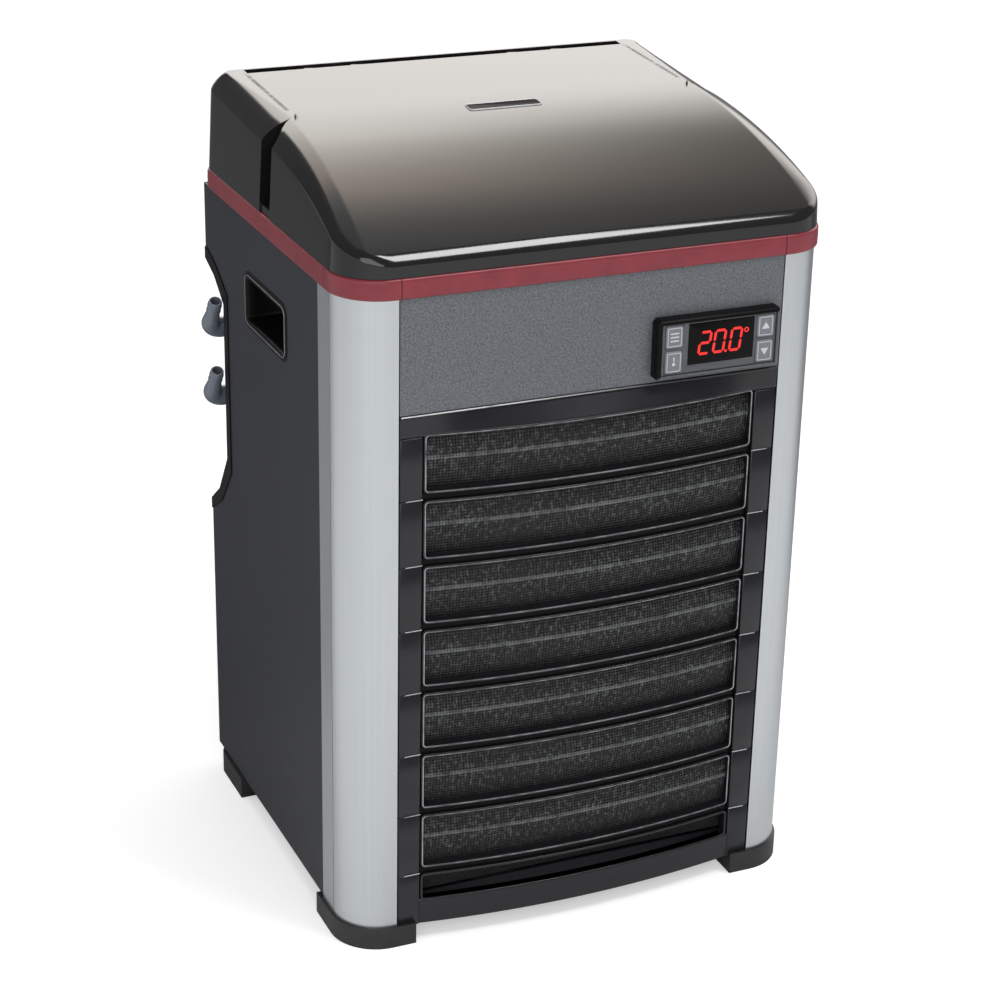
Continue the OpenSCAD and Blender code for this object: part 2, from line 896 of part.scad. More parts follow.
// Lower corner of each key on the bezel
function key_at(column, row) = [column > 0 ? key_right_x : key_left_x, 0, key_low_z + row*key_step];

module key_hole(column, row) {
    p = ctl_at + key_at(column, row);
    span(p - [key_fit, over, key_fit], p + [key_w + key_fit, face_t + over, key_h + key_fit]);
}

module thermostat_bezel() {
    color("slategray") difference() {
        span(ctl_at, [ctl_x + ctl_w, front_y, ctl_z + ctl_h]);
        span(ctl_at + [ctl_rim, face_t, ctl_rim], [ctl_x + ctl_w - ctl_rim, front_y + over, ctl_z + ctl_h - ctl_rim]);
        for (c = [0, 1], r = [0, 1]) key_hole(c, r);
        span(ctl_at + [glass_x - gap/2, -over, glass_z - gap/2], ctl_at + [glass_x + glass_w + gap/2, glass_t, glass_z + glass_h + gap/2]);
    }
}

module thermostat_case() {
    x = ctl_x + ctl_w/2;
    z = ctl_z + ctl_h/2;
    color("black") {
        span(ctl_at + [ctl_rim + gap, ctl_proud - case_rim, ctl_rim + gap],
            [ctl_x + ctl_w - ctl_rim - gap, front_y, ctl_z + ctl_h - ctl_rim - gap]);
        span([x - cut_w/2 + gap, front_y - over, z - cut_h/2 + gap], [x + cut_w/2 - gap, front_y + case_d, z + cut_h/2 - gap]);
    }
}

module display_window() {
    color("black") span(ctl_at + [glass_x, 0, glass_z], ctl_at + [glass_x + glass_w, glass_t, glass_z + glass_h]);
}

module key(column, row) {
    p = ctl_at + key_at(column, row);
    color("lightgray") span(p - [0, key_rise, 0], p + [key_w, key_depth, key_h]);
}

tube_pitch = cond_h/tube_n;
tube_y = cond_y + cond_d/2;
tube_end = cond_half + tube_over;
function tube_z(i) = cond_z + (i + 1/2)*tube_pitch;

module condenser_tubes() {
    color("peru") {
        for (i = [0 : tube_n - 1]) rod_x([-tube_end, tube_y, tube_z(i)], 2*tube_end, tube_r);
        for (i = [0 : tube_n - 2]) {
            s = i % 2 == 0 ? -1 : 1;
            translate([s*tube_end, tube_y, tube_z(i) + tube_pitch/2]) rotate([90, 0, 0])
                rotate([0, 0, s > 0 ? -90 : 90]) rotate_extrude(angle = 180) translate([tube_pitch/2, 0]) circle(r = tube_r);
        }
    }
}

module condenser_fins() {
    step = 2*cond_half/(fin_n + 1);
    color("silver") {
        for (i = [1 : fin_n]) {
            x = -cond_half + i*step;
            span([x - fin_t/2, cond_y, cond_z], [x + fin_t/2, cond_y + cond_d, cond_z + cond_h]);
        }
        for (s = [-1, 1]) {
            x = s*cond_half;
            span([x - plate_t/2, cond_y, pan_top], [x + plate_t/2, cond_y + cond_d, cond_z + cond_h]);
        }
    }
}

module fan_shroud() {
    r = fan_r + fan_fit;
    color("dimgray") difference() {
        union() {
            span([-cond_half, shroud_y, cond_z], [cond_half, shroud_y + shroud_t, cond_z + cond_h]);
            rod_y([0, shroud_y, fan_z], shroud_d, r + shroud_t);
        }
        rod_y([0, shroud_y - over, fan_z], shroud_d + 2*over, r);
    }
}

module motor_bracket() {
    y = shroud_y + shroud_d + gap;
    r = motor_r + run;
    color("dimgray") difference() {
        union() {
            rod_y([0, y, fan_z], motor_y - y + motor_d/2, r + arm_t);
            for (a = [45 : 90 : 315]) translate([0, y, fan_z]) rotate([0, a, 0])
                span([motor_r, 0, -arm_w/2], [fan_r + fan_fit + shroud_t, arm_t, arm_w/2]);
        }
        rod_y([0, y - over, fan_z], motor_y - y + motor_d, r);
    }
}

module fan_motor() {
    color("dimgray") difference() {
        rod_y([0, motor_y, fan_z], motor_d, motor_r);
        rod_y([0, motor_y - over, fan_z], shaft_in + 2*over, shaft_r + run);
    }
}

module fan_rotor() {
    color("black") {
        rod_y([0, fan_y - hub_d/2, fan_z], hub_d, hub_r);
        rod_y([0, fan_y, fan_z], motor_y + shaft_in - fan_y, shaft_r);
        intersection() {
            for (i = [0 : blade_n - 1]) translate([0, fan_y, fan_z]) rotate([0, i*360/blade_n, 0])
                rotate([blade_pitch, 0, 0])
                    span([hub_r - over, -blade_t/2, -blade_w/2], [fan_r, blade_t/2, blade_w/2]);
            rod_y([0, fan_y - blade_w, fan_z], 2*blade_w, fan_r);
        }
    }
}

// Outline of a welded shell with rounded ends, from the axis outwards
module shell_outline(r, h, turn) {
    square([r - turn, h]);
    translate([0, turn]) square([r, h - 2*turn]);
    for (z = [turn, h - turn]) translate([r - turn, z]) circle(r = turn);
}

mount_places = [for (i = [-1, 1], j = [-1, 1]) [comp_x + i*(plate_w/2 - mount_in), comp_y + j*(plate_d/2 - mount_in)]];

module compressor() {
    color("black") difference() {
        union() {
            translate([comp_x, comp_y, comp_z]) rotate_extrude() shell_outline(comp_r, comp_h, comp_dome_share*comp_r);
            translate([comp_x, comp_y, comp_z + comp_h/2]) cylinder(h = seam_h, r = comp_r + seam_t);
            span([comp_x - plate_w/2, comp_y - plate_d/2, comp_z], [comp_x + plate_w/2, comp_y + plate_d/2, comp_z + plate_h]);
        }
        for (p = mount_places) translate([p[0], p[1], comp_z - over]) cylinder(h = plate_h + 2*over, r = stud_r + run);
    }
}

module compressor_mounts() {
    color("black") for (p = mount_places) translate([p[0], p[1], pan_top]) difference() {
        cylinder(h = comp_z - pan_top, r = mount_r);
        translate([0, 0, -over]) cylinder(h = comp_z - pan_top + 2*over, r = stud_r + run);
    }
}

module terminal_box() {
    x = -half_w + sheet_t + box_gap;
    color("darkgray") span([x, front_y + box_y, pan_top], [x + box_w, front_y + box_y + box_d, pan_top + box_h]);
}

module tank() {
    color("gainsboro") difference() {
        union() {
            translate([tank_x, tank_y, pan_top]) cylinder(h = tank_top - pan_top, r = tank_r);
            translate([tank_x, tank_y, tank_top - over]) cylinder(h = neck_h + over, r = neck_r);
        }
        translate([tank_x, tank_y, pan_top + tank_t]) cylinder(h = tank_top - pan_top - 2*tank_t, r = tank_r - tank_t);
        translate([tank_x, tank_y, tank_top - 2*tank_t]) cylinder(h = neck_h + 3*tank_t, r = neck_r - tank_t);
        for (i = [0, 1]) rod_y([tank_x, tank_y, port(i)[2]], tank_r + over, water_r);
    }
}

module tank_cap() {
    z = tank_top + neck_h - cap_skirt;
    color("dimgray") translate([tank_x, tank_y, z]) difference() {
        union() {
            cylinder(h = cap_h, r = tank_r - over);
            for (a = [0 : 360/cap_ribs : 359]) rotate([0, 0, a]) translate([tank_r - over, 0, 0]) cylinder(h = cap_h, r = over, $fn = rib_steps);
        }
        translate([0, 0, -over]) cylinder(h = cap_skirt + over + gap, r = neck_r + cap_fit);
        translate([0, 0, cap_h - cap_dish]) difference() {
            cylinder(h = cap_dish + over, r = tank_r - 3*cap_wall);
            span([-tank_r, -cap_bar/2, -over], [tank_r, cap_bar/2, cap_dish + 2*over]);
        }
    }
}

// Points of the coil's centre line, and rings of its tube round them
coil_low = pan_top + tank_t + coil_tube + gap;
coil_pitch = (tank_top - 2*tank_t - coil_low - coil_tube)/(coil_turns + 1);
coil_rings = coil_turns*coil_steps;
function coil_point(i) = [coil_r*cos(360*i/coil_steps), coil_r*sin(360*i/coil_steps), coil_low + coil_pitch*i/coil_steps];
function ring_point(i, k) = coil_point(i)
    + coil_tube*cos(360*k/coil_sides)*[cos(360*i/coil_steps), sin(360*i/coil_steps), 0]
    + coil_tube*sin(360*k/coil_sides)*[0, 0, 1];

module titanium_coil() {
    points = [for (i = [0 : coil_rings], k = [0 : coil_sides - 1]) ring_point(i, k)];
    sides = [for (i = [0 : coil_rings - 1], k = [0 : coil_sides - 1]) [
        i*coil_sides + k, i*coil_sides + (k + 1) % coil_sides,
        (i + 1)*coil_sides + (k + 1) % coil_sides, (i + 1)*coil_sides + k
    ]];
    ends = [
        [for (k = [0 : coil_sides - 1]) coil_sides - 1 - k],
        [for (k = [0 : coil_sides - 1]) coil_rings*coil_sides + k]
    ];
    color("lightsteelblue") translate([tank_x, tank_y, 0]) polyhedron(points = points, faces = concat(sides, ends), convexity = 10);
}

module water_pipe(i, r, extra) {
    z = port(i)[2];
    pipe_run([
        [port_wall_x + pocket_t + stub_in + gap - extra, port_y, z],
        [tank_x, port_y, z],
        [tank_x, tank_y + tank_r + gap - extra, z]
    ], r);
}

module water_pipes() {
    color("lightgray") for (i = [0, 1]) difference() {
        water_pipe(i, pipe_r, 0);
        water_pipe(i, water_r, over);
    }
}

line_x = cond_half + line_out;
drier_y = cond_y + cond_d + line_out;
drier_z = tube_z(0) + drier_up;
comp_top = comp_z + comp_h;

module refrigerant_lines() {
    cross_z = cond_z + cond_h + line_out;
    out_y = comp_y - comp_r/3;
    color("peru") {
        pipe_run([
            [tank_x + tank_r + gap, tank_y, cross_z + line_out], [comp_x, tank_y, cross_z + line_out],
            [comp_x, tank_y, comp_top + gap]
        ], line_r);
        pipe_run([
            [comp_x + comp_r/3, out_y, comp_top + gap], [comp_x + comp_r/3, out_y, tube_z(tube_n - 1)],
            [line_x, out_y, tube_z(tube_n - 1)], [line_x, tube_y, tube_z(tube_n - 1)],
            [tube_end + gap, tube_y, tube_z(tube_n - 1)]
        ], line_r);
        pipe_run([
            [tube_end + gap, tube_y, tube_z(0)], [line_x, tube_y, tube_z(0)],
            [line_x, drier_y, tube_z(0)], [line_x, drier_y, drier_z - gap]
        ], line_r);
        pipe_run([
            [line_x, drier_y, drier_z + drier_len + gap], [line_x, drier_y, cross_z],
            [tank_x, drier_y, cross_z], [tank_x, tank_y - tank_r - gap, cross_z]
        ], line_r);
    }
}

module filter_drier() {
    color("peru") translate([line_x, drier_y, drier_z]) rotate_extrude() shell_outline(drier_r, drier_len, drier_r/2);
}

module power_inlet() {
    low = [inlet_x - inlet_w/2, back_y - inlet_d, inlet_z - inlet_h/2];
    hole = [inlet_lip*2/3, inlet_lip, inlet_lip*2/3];
    color("black") {
        difference() {
            union() {
                span(low, low + [inlet_w, inlet_d + over, inlet_h]);
                span([low[0] - inlet_lip, back_y, low[2] - inlet_lip],
                    [low[0] + inlet_w + inlet_lip, back_y + proud/2, low[2] + inlet_h + inlet_lip]);
            }
            span(low + hole, low + [inlet_w - hole[0], inlet_d + 2*over, inlet_h - hole[2]]);
        }
        for (i = [-1, 0, 1]) {
            x = inlet_x + i*inlet_pin_step;
            z = inlet_z - inlet_pin_drop + (i == 0 ? 2*inlet_pin_drop : 0);
            span([x - inlet_pin_w/2, low[1] + inlet_lip - over, z - inlet_pin_h/2],
                [x + inlet_pin_w/2, back_y - inlet_lip, z + inlet_pin_h/2]);
        }
    }
}

module case_screws() {
    x = half_w - rear_flange - 2*screw_r;
    color("silver") {
        for (s = [-1, 1], z = [panel_z + screw_in, pocket_low - screw_in, post_top - 2*screw_r])
            rod_y([s*x, back_y, z], screw_t, screw_r);
        for (p = mount_places) {
            translate([p[0], p[1], pan_top]) cylinder(h = comp_z - pan_top + plate_h + screw_t, r = stud_r);
            translate([p[0], p[1], comp_z + plate_h]) cylinder(h = 2*screw_t, r = 2*stud_r, $fn = 6);
        }
    }
}

// Everything moves over by half of what the hose elbows stand out further than the feet
module placed() {
    translate([(arm_out - proud)/2, 0, 0]) children();
}

placed() base_pan();
placed() foot(-1, -1);  // foot_front_left
placed() foot(1, -1);  // foot_front_right
placed() foot(-1, 1);  // foot_rear_left
placed() foot(1, 1);  // foot_rear_right
placed() post(-1);  // post_left
placed() post(1);  // post_right
placed() side_panel(-1);  // side_panel_left
placed() side_panel(1);  // side_panel_right
placed() rear_panel();
placed() front_panel();
placed() service_deck();
placed() trim_front();
placed() trim_rear();
placed() trim_side(-1);  // trim_left
placed() trim_side(1);  // trim_right
placed() trim_corner(-1, -1);  // trim_corner_front_left
placed() trim_corner(1, -1);  // trim_corner_front_right
placed() trim_corner(-1, 1);  // trim_corner_rear_left
placed() trim_corner(1, 1);  // trim_corner_rear_right
placed() hood_rear();
placed() lid();
placed() lid_hinge_pin();
placed() lid_badge();
placed() grille_frame();
placed() grille_mesh();
placed() filter_mat();
placed() handle_cup(-1);  // handle_cup_left
placed() handle_cup(1);  // handle_cup_right
placed() connection_pocket();
placed() union_body(1);  // union_body_upper
placed() union_body(0);  // union_body_lower
placed() union_nut(1);  // union_nut_upper
placed() union_nut(0);  // union_nut_lower
placed() hose_elbow(1);  // hose_elbow_upper
placed() hose_elbow(0);  // hose_elbow_lower
placed() thermostat_bezel();
placed() thermostat_case();
placed() display_window();
placed() key(0, 1);  // key_set
placed() key(0, 0);  // key_power
placed() key(1, 1);  // key_up
placed() key(1, 0);  // key_down
placed() condenser_tubes();
placed() condenser_fins();
placed() fan_shroud();
placed() motor_bracket();
placed() fan_motor();
placed() fan_rotor();
placed() compressor();
placed() compressor_mounts();
placed() terminal_box();
placed() tank();
placed() tank_cap();
placed() titanium_coil();
placed() water_pipes();
placed() refrigerant_lines();
placed() filter_drier();
placed() power_inlet();
placed() case_screws();
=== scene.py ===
# %% [markdown]
# # A cabinet aquarium chiller
# This lesson dresses a finished CAD model in Blender. The CAD gives every size and every joint, so the script
# first loads it as a frame and reads its measures. Then it makes the finishes, replaces the curved mouldings by
# smooth surfaces, and lights the whole like a studio photograph. All shapes are worked out in millimetres
# round the middle of the cabinet, and go into their meshes in metres.

import json

import bmesh
import bpy
import numpy as np
from mathutils import Matrix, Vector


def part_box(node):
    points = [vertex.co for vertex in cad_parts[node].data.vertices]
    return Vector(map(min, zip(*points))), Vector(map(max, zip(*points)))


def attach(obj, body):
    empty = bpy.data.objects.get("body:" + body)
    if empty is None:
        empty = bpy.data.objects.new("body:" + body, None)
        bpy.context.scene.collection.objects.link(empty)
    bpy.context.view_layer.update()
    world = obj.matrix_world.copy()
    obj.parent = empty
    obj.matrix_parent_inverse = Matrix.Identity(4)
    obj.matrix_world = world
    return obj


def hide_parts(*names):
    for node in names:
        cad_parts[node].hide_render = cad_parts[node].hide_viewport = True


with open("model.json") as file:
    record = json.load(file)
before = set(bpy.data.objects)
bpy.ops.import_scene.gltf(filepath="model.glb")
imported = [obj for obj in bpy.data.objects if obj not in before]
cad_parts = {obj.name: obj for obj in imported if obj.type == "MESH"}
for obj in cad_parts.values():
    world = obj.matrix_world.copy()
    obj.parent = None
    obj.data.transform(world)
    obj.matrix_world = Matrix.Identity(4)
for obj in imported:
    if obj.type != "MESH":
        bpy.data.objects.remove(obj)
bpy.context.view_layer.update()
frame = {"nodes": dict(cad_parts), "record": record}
nodes = frame["nodes"]
MM = 0.001

# %% [markdown]
# ## Measures from the frame
# Nothing is typed twice: the width of the cabinet, the height of the trim band and the place of each joint
# are read from the boxes of the CAD nodes. The hose elbows stand out on the left, so the middle of the
# cabinet lies a little to the right of the frame's own middle. Only the plan radii of the front and rear
# corners are typed, because a box doesn't show them.


# %% Read the measures
def low(node):
    return np.array(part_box(node)[0]) / MM


def high(node):
    return np.array(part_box(node)[1]) / MM


LEFT, RIGHT = low("side_panel_left")[0], high("side_panel_right")[0]
CENTRE_X = (LEFT + RIGHT) / 2
HALF_W = (RIGHT - LEFT) / 2
FRONT, BACK = low("post_left")[1], high("rear_panel")[1]
POST_TOP, BAND_TOP = high("post_left")[2], high("trim_front")[2]
PROUD = LEFT - low("trim_left")[0]
CORNER_R, REAR_R = 30.0, 18.0


def span(node):
    """The lowest and the highest corner of a node, round the middle of the cabinet."""
    return low(node) - [CENTRE_X, 0, 0], high(node) - [CENTRE_X, 0, 0]


print("half width", HALF_W, "front", FRONT, "back", BACK, "proud", PROUD, "centre", CENTRE_X)

# %% [markdown]
# ## A small mesh maker
# Every new piece is a grid of points, worked out by a formula, or a few such grids put together. This class
# collects them and turns them into one Blender mesh. Doubled points along seams are merged, faces of a closed
# shape are turned outwards, and edges sharper than an angle stay crisp while the rest is shaded smooth.


# %% The mesh maker
SEAM = 1e-6  # points nearer to each other than this, in metres, become one


class Shape:
    """Grids and caps in millimetres round the middle of the cabinet, made into one mesh."""

    def __init__(self):
        self.points, self.faces, self.finish_of, self.count = [], [], [], 0

    def add(self, points, faces, finish=0):
        """More points, and faces that count all points from the first grid on."""
        self.points.append(points.reshape(-1, 3))
        self.faces += faces
        self.finish_of += [finish] * len(faces)
        self.count += points.size // 3
        return self

    def grid(self, points, close_rows=False, close_cols=False, flip=False, finish=0):
        """Quads between neighbours in rows and columns. A closed direction joins its last line to its first."""
        rows, cols = points.shape[:2]
        i, j = np.meshgrid(
            np.arange(rows if close_rows else rows - 1),
            np.arange(cols if close_cols else cols - 1),
            indexing="ij",
        )
        i2, j2 = (i + 1) % rows, (j + 1) % cols
        quads = np.stack([i * cols + j, i2 * cols + j, i2 * cols + j2, i * cols + j2], -1)
        quads = quads.reshape(-1, 4) + self.count
        return self.add(points, (quads[:, ::-1] if flip else quads).tolist(), finish)

    def ring_grid(self, points, finish=0):
        """A grid that is closed both ways, such as a ring or a frame."""
        return self.grid(points, close_rows=True, close_cols=True, finish=finish)

    def cap(self, ring, flip=False, finish=0):
        """One flat face over a ring of points."""
        face = list(range(self.count, self.count + len(ring)))
        return self.add(np.asarray(ring, float), [face[::-1] if flip else face], finish)

    def tube(self, rings, finish=0):
        """A closed skin over rings of points, with a cap at each end."""
        self.grid(rings, close_cols=True, finish=finish)
        return self.cap(rings[0], True, finish).cap(rings[-1], False, finish)

    def make(self, name, finishes, body="cabinet", stands_for=(), slot=None, wall=0, bevel=0, sharp=35):
        """The mesh object: merged, shaded, with a wall and rounded edges where asked, riding on its body."""
        mesh = bpy.data.meshes.new(name)
        place = np.concatenate(self.points) + [CENTRE_X, 0, 0]
        mesh.from_pydata((place * MM).tolist(), [], self.faces)
        mesh.polygons.foreach_set("material_index", self.finish_of)
        solid = bmesh.new()
        solid.from_mesh(mesh)
        bmesh.ops.remove_doubles(solid, verts=solid.verts, dist=SEAM)
        if not wall:
            bmesh.ops.recalc_face_normals(solid, faces=solid.faces)
        solid.to_mesh(mesh)
        solid.free()
        mesh.shade_smooth()
        mesh.set_sharp_from_angle(angle=np.radians(sharp))
        piece = bpy.data.objects.new(name, mesh)
        bpy.context.scene.collection.objects.link(piece)
        for finish in finishes:
            mesh.materials.append(finish.material)
        if wall:
            shell = piece.modifiers.new("wall", "SOLIDIFY")
            shell.thickness, shell.offset = wall * MM, -1
        if bevel:
            edge = piece.modifiers.new("edges", "BEVEL")
            edge.width, edge.segments, edge.limit_method = bevel * MM, 2, "ANGLE"
            edge.angle_limit, edge.harden_normals = np.radians(sharp), True
        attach(piece, body)
        if stands_for:
            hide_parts(*stands_for)
        print(name, len(mesh.polygons), "faces")
        return piece


# %% [markdown]
# ## Paths and profiles
# Most mouldings here are a profile carried along a path: the trim band, the corner posts and the hood all
# follow the plan of the cabinet. A route is made of straight legs and arcs, and it runs anticlockwise seen
# from above, so that the side to its right always points outwards.


# %% Routes in the plan
def leg(start, end, count):
    """Points from start to end, and their outward sides: the direction (dx, dy) turned to (dy, -dx)."""
    start, end = np.array(start, float), np.array(end, float)
    t = np.linspace(0, 1, count)[:, None]
    dx, dy = (end - start) / np.linalg.norm(end - start)
    return start + (end - start) * t, np.tile([dy, -dx], (count, 1))


def arc(centre, radius, first, last, count):
    """Points at centre + radius (cos a, sin a) for angles in degrees, and their outward directions."""
    a = np.radians(np.linspace(first, last, count))
    side = np.stack([np.cos(a), np.sin(a)], 1)
    return np.array(centre) + radius * side, side


def route(*parts):
    """Legs and arcs one after another, as one array of points and one of sides."""
    return np.concatenate([p for p, _ in parts]), np.concatenate([s for _, s in parts])


def carry(profile, path, side):
    """Row i, column j: path point i + profile[j, 0] along its side, at height profile[j, 1]."""
    out = path[:, None, :] + side[:, None, :] * profile[None, :, 0, None]
    rise = np.broadcast_to(profile[None, :, 1, None], out.shape[:2] + (1,))
    return np.concatenate([out, rise], -1)


def smooth(t):
    """0 below 0, 1 above 1, and 3t^2 - 2t^3 between."""
    t = np.clip(t, 0, 1)
    return t * t * (3 - 2 * t)


def around(centre, radius, count):
    """Points (cos a, sin a) round a centre, anticlockwise, without the last one that meets the first."""
    a = np.radians(np.linspace(0, 360, count + 1)[:-1])
    return np.stack([centre[0] + radius * np.cos(a), centre[1] + radius * np.sin(a)], 1)


print("a quarter turn of radius 1 ends at", arc((0, 0), 1, 0, 90, 3)[0][-1].round(3))

# %% [markdown]
# ## Writing finishes as sums
# A finish in Blender is a net of nodes. A thin wrapper round a node's output lets Python's own signs write it:
# speckle * 0.2 + 0.1 makes a Multiply and an Add node. Everything else comes from one method, which takes
# the node's type, its settings and the values or links of its sockets.


# %% The finish maker
class Wire:
    """An output of a node that can be added, taken away and multiplied, from either side."""

    def __init__(self, net, socket):
        self.net, self.socket = net, socket

    def _math(self, operation, first, second=0.0):
        return self.net.node("Math", {"operation": operation}, {0: first, 1: second})

    def __add__(self, other):
        return self._math("ADD", self, other)

    def __sub__(self, other):
        return self._math("SUBTRACT", self, other)

    def __rsub__(self, other):
        return self._math("SUBTRACT", other, self)

    def __mul__(self, other):
        return self._math("MULTIPLY", self, other)

    def __abs__(self):
        return self._math("ABSOLUTE", self)

    __radd__, __rmul__ = __add__, __mul__

    def between(self, start, end):
        """Smoothly from 0 at start to 1 at end, whichever of them is larger."""
        first, last = (0.0, 1.0) if start < end else (1.0, 0.0)
        sockets = {0: self, 1: min(start, end), 2: max(start, end), 3: first, 4: last}
        return self.net.node("MapRange", {"interpolation_type": "SMOOTHSTEP"}, sockets)


class Net:
    """A tree of shader nodes, of a material or of the world."""

    def __init__(self, tree):
        self.tree = tree

    def node(self, kind, settings=None, values=None, out=0):
        """A node of this type with its settings made first, then its sockets filled, and one of its outputs."""
        made = self.tree.nodes.new("ShaderNode" + kind)
        for key, value in (settings or {}).items():
            if key == "stops":
                stops = made.color_ramp.elements
                for i, (place, shade) in enumerate(value):
                    stop = stops[i] if i < 2 else stops.new(place)
                    stop.position, stop.color = place, (*shade, 1)
            else:
                setattr(made, key, value)
        for key, value in (values or {}).items():
            if isinstance(value, Wire):
                self.tree.links.new(value.socket, made.inputs[key])
            else:
                made.inputs[key].default_value = value
        return Wire(self, made.outputs[out])

    def ramp(self, factor, *stops):
        return self.node("ValToRGB", {"stops": stops}, {"Fac": factor})

    def mix(self, factor, first, second):
        return self.node("Mix", {"data_type": "RGBA"}, {0: factor, 6: first, 7: second}, 2)


class Finish(Net):
    """A material under construction round one Principled shader."""

    def __init__(self, name, colour, roughness, metallic=0.0, **sockets):
        self.material = bpy.data.materials.new(name)
        self.material.use_nodes = True
        super().__init__(self.material.node_tree)
        self.shader = self.tree.nodes["Principled BSDF"]
        self.set("Base Color", (*colour, 1))
        self.set("Roughness", roughness)
        self.set("Metallic", metallic)
        for key, value in sockets.items():
            self.set(key.replace("_", " "), value)
        self.colour = (*colour, 1)

    def set(self, socket, value):
        """A value on a socket of the shader, or a link to it."""
        target = self.shader.inputs[socket]
        if isinstance(value, Wire):
            self.tree.links.new(value.socket, target)
        else:
            target.default_value = value
        return self

    def place(self, stretch=(1, 1, 1)):
        """Object coordinates in metres, stretched along the axes."""
        spot = self.node("TexCoord", out="Object")
        return self.node("Mapping", {}, {"Vector": spot, "Scale": stretch})

    def along(self, axis):
        """The place along one axis, in metres."""
        return self.node("SeparateXYZ", {}, {"Vector": self.place()}, axis)

    def noise(self, scale, detail=2.0, stretch=(1, 1, 1), rough=0.5):
        """Clouds of about scale waves in a metre."""
        sockets = {"Vector": self.place(stretch), "Scale": scale, "Detail": detail, "Roughness": rough}
        return self.node("TexNoise", {}, sockets)

    def cells(self, scale):
        """The distance from the nearest of many points, of which scale lie along a metre."""
        return self.node("TexVoronoi", {}, {"Vector": self.place(), "Scale": scale}, "Distance")

    def shade(self, factor, dark, light):
        """The finish's own colour, made darker where the factor is 0 and lighter where it is 1."""
        pair = [tuple(min(1, c * k) for c in self.colour[:3]) + (1,) for k in (dark, light)]
        return self.set("Base Color", self.mix(factor, *pair))

    def bump(self, height, distance, strength=1.0):
        """Small dents: the height times this distance in millimetres."""
        sockets = {"Height": height, "Distance": distance * MM, "Strength": strength}
        return self.set("Normal", self.node("Bump", {}, sockets))

    def clouds(self, scale, detail, dark, light):
        """The colour darker and lighter in clouds."""
        return self.shade(self.noise(scale, detail), dark, light)

    def grain(self, scale, distance, strength, detail=2):
        """A fine grain of this depth."""
        return self.bump(self.noise(scale, detail), distance, strength)

    def dull(self, scale, detail, more, least):
        """Roughness from least to least + more in clouds."""
        return self.set("Roughness", self.noise(scale, detail) * more + least)


print("a finish can", [name for name in vars(Finish) if not name.startswith("_")])


# %% [markdown]
# ## The finishes
# Colours are in linear light, read from the photograph: a burgundy band, hammered grey paint, charcoal powder
# coat, satin aluminium and several blacks. Each gets the small unevenness that its real surface has, because a
# perfectly even surface looks like a drawing. A noise of scale 900 has waves of about a millimetre.

# %% Plastics and paints
NO_GLARE = {"Specular_IOR_Level": 0.12}
hood_black = Finish("polished_black", (0.0085, 0.0085, 0.009), 0.08)
hood_black.dull(22, 3, 0.06, 0.07).grain(420, 0.004, 0.25)
band_red = Finish("burgundy_moulding", (0.2, 0.022, 0.032), 0.36).clouds(70, 4, 0.75, 1.3).grain(900, 0.02, 0.4)

panel_grey = Finish("hammered_grey_paint", (0.115, 0.123, 0.134), 0.42, 0.2)
speck = panel_grey.noise(820, 3, rough=0.7)
panel_grey.shade(speck * 3.0 - 1.0, 0.58, 1.5).bump(panel_grey.cells(520), 0.12, 0.5)
panel_grey.set("Roughness", speck * 0.3 + 0.3)

charcoal = Finish("charcoal_powder_coat", (0.021, 0.0228, 0.0285), 0.55, Specular_IOR_Level=0.3)
grain = charcoal.noise(1500, 2)
charcoal.clouds(9, 2, 0.85, 1.15).bump(grain, 0.03, 0.5).set("Roughness", grain * 0.2 + 0.38)

foot_black = Finish("foot_black", (0.014, 0.014, 0.015), 0.5).clouds(160, 3, 0.7, 1.6).grain(1300, 0.04, 0.5)
grille_black = Finish("satin_black_moulding", (0.008, 0.0085, 0.0105), 0.26)
grille_black.dull(50, 3, 0.16, 0.22).grain(1600, 0.01, 0.4)
recess_black = Finish("recess_black", (0.003, 0.003, 0.0034), 0.4, **NO_GLARE).grain(1200, 0.02, 0.4)
fitting_grey = Finish("blue_grey_fitting", (0.13, 0.15, 0.185), 0.2)
fitting_grey.clouds(180, 3, 0.85, 1.15).grain(1400, 0.012, 0.5)
bezel_grey = Finish("bezel_grey", (0.078, 0.083, 0.09), 0.36, 0.15)
bezel_grey.shade(bezel_grey.noise(1100, 2) * 1.4 - 0.2, 0.7, 1.5).bump(bezel_grey.cells(600), 0.05, 0.4)
print_light = Finish("light_print", (0.55, 0.56, 0.57), 0.5).clouds(700, 2, 0.8, 1.1)
badge_dark = Finish("badge_plate", (0.008, 0.0075, 0.0075), 0.6, **NO_GLARE).clouds(300, 2, 0.6, 1.8)
print(len(bpy.data.materials), "plastics and paints")

# %% [markdown]
# ## Painted highlights on the fine edges
# Fine beads on the grille are given a light colour that paints the glint of their edges. The painted highlight
# on the bead round each window is brightest near both ends, from 108 mm off the middle. The painted highlight
# along the top rail is bright at the left and fades to the right, and the rim of the handle recess carries a
# painted highlight all round, in clouds.

# %% Finishes of the fine edges
# Painted highlight: the beads' light grey stands for the glint on the rims' edges, in patches and brightest
# near both ends.
edge_line = Finish("edge_highlight_paint", (0.16, 0.165, 0.17), 0.35)
near_ends = abs(edge_line.along("X") - CENTRE_X * MM).between(0.108, 0.113)
near_ends = near_ends * edge_line.noise(60, 2).between(0.2, 0.6)
highlight_patches = edge_line.noise(120, 2).between(0.3, 0.7)
bead_highlight_paint = edge_line.mix(highlight_patches, (0.05, 0.052, 0.056, 1), (0.2, 0.205, 0.21, 1))
edge_line.set("Base Color", edge_line.mix(near_ends, bead_highlight_paint, (0.4, 0.41, 0.42, 1)))

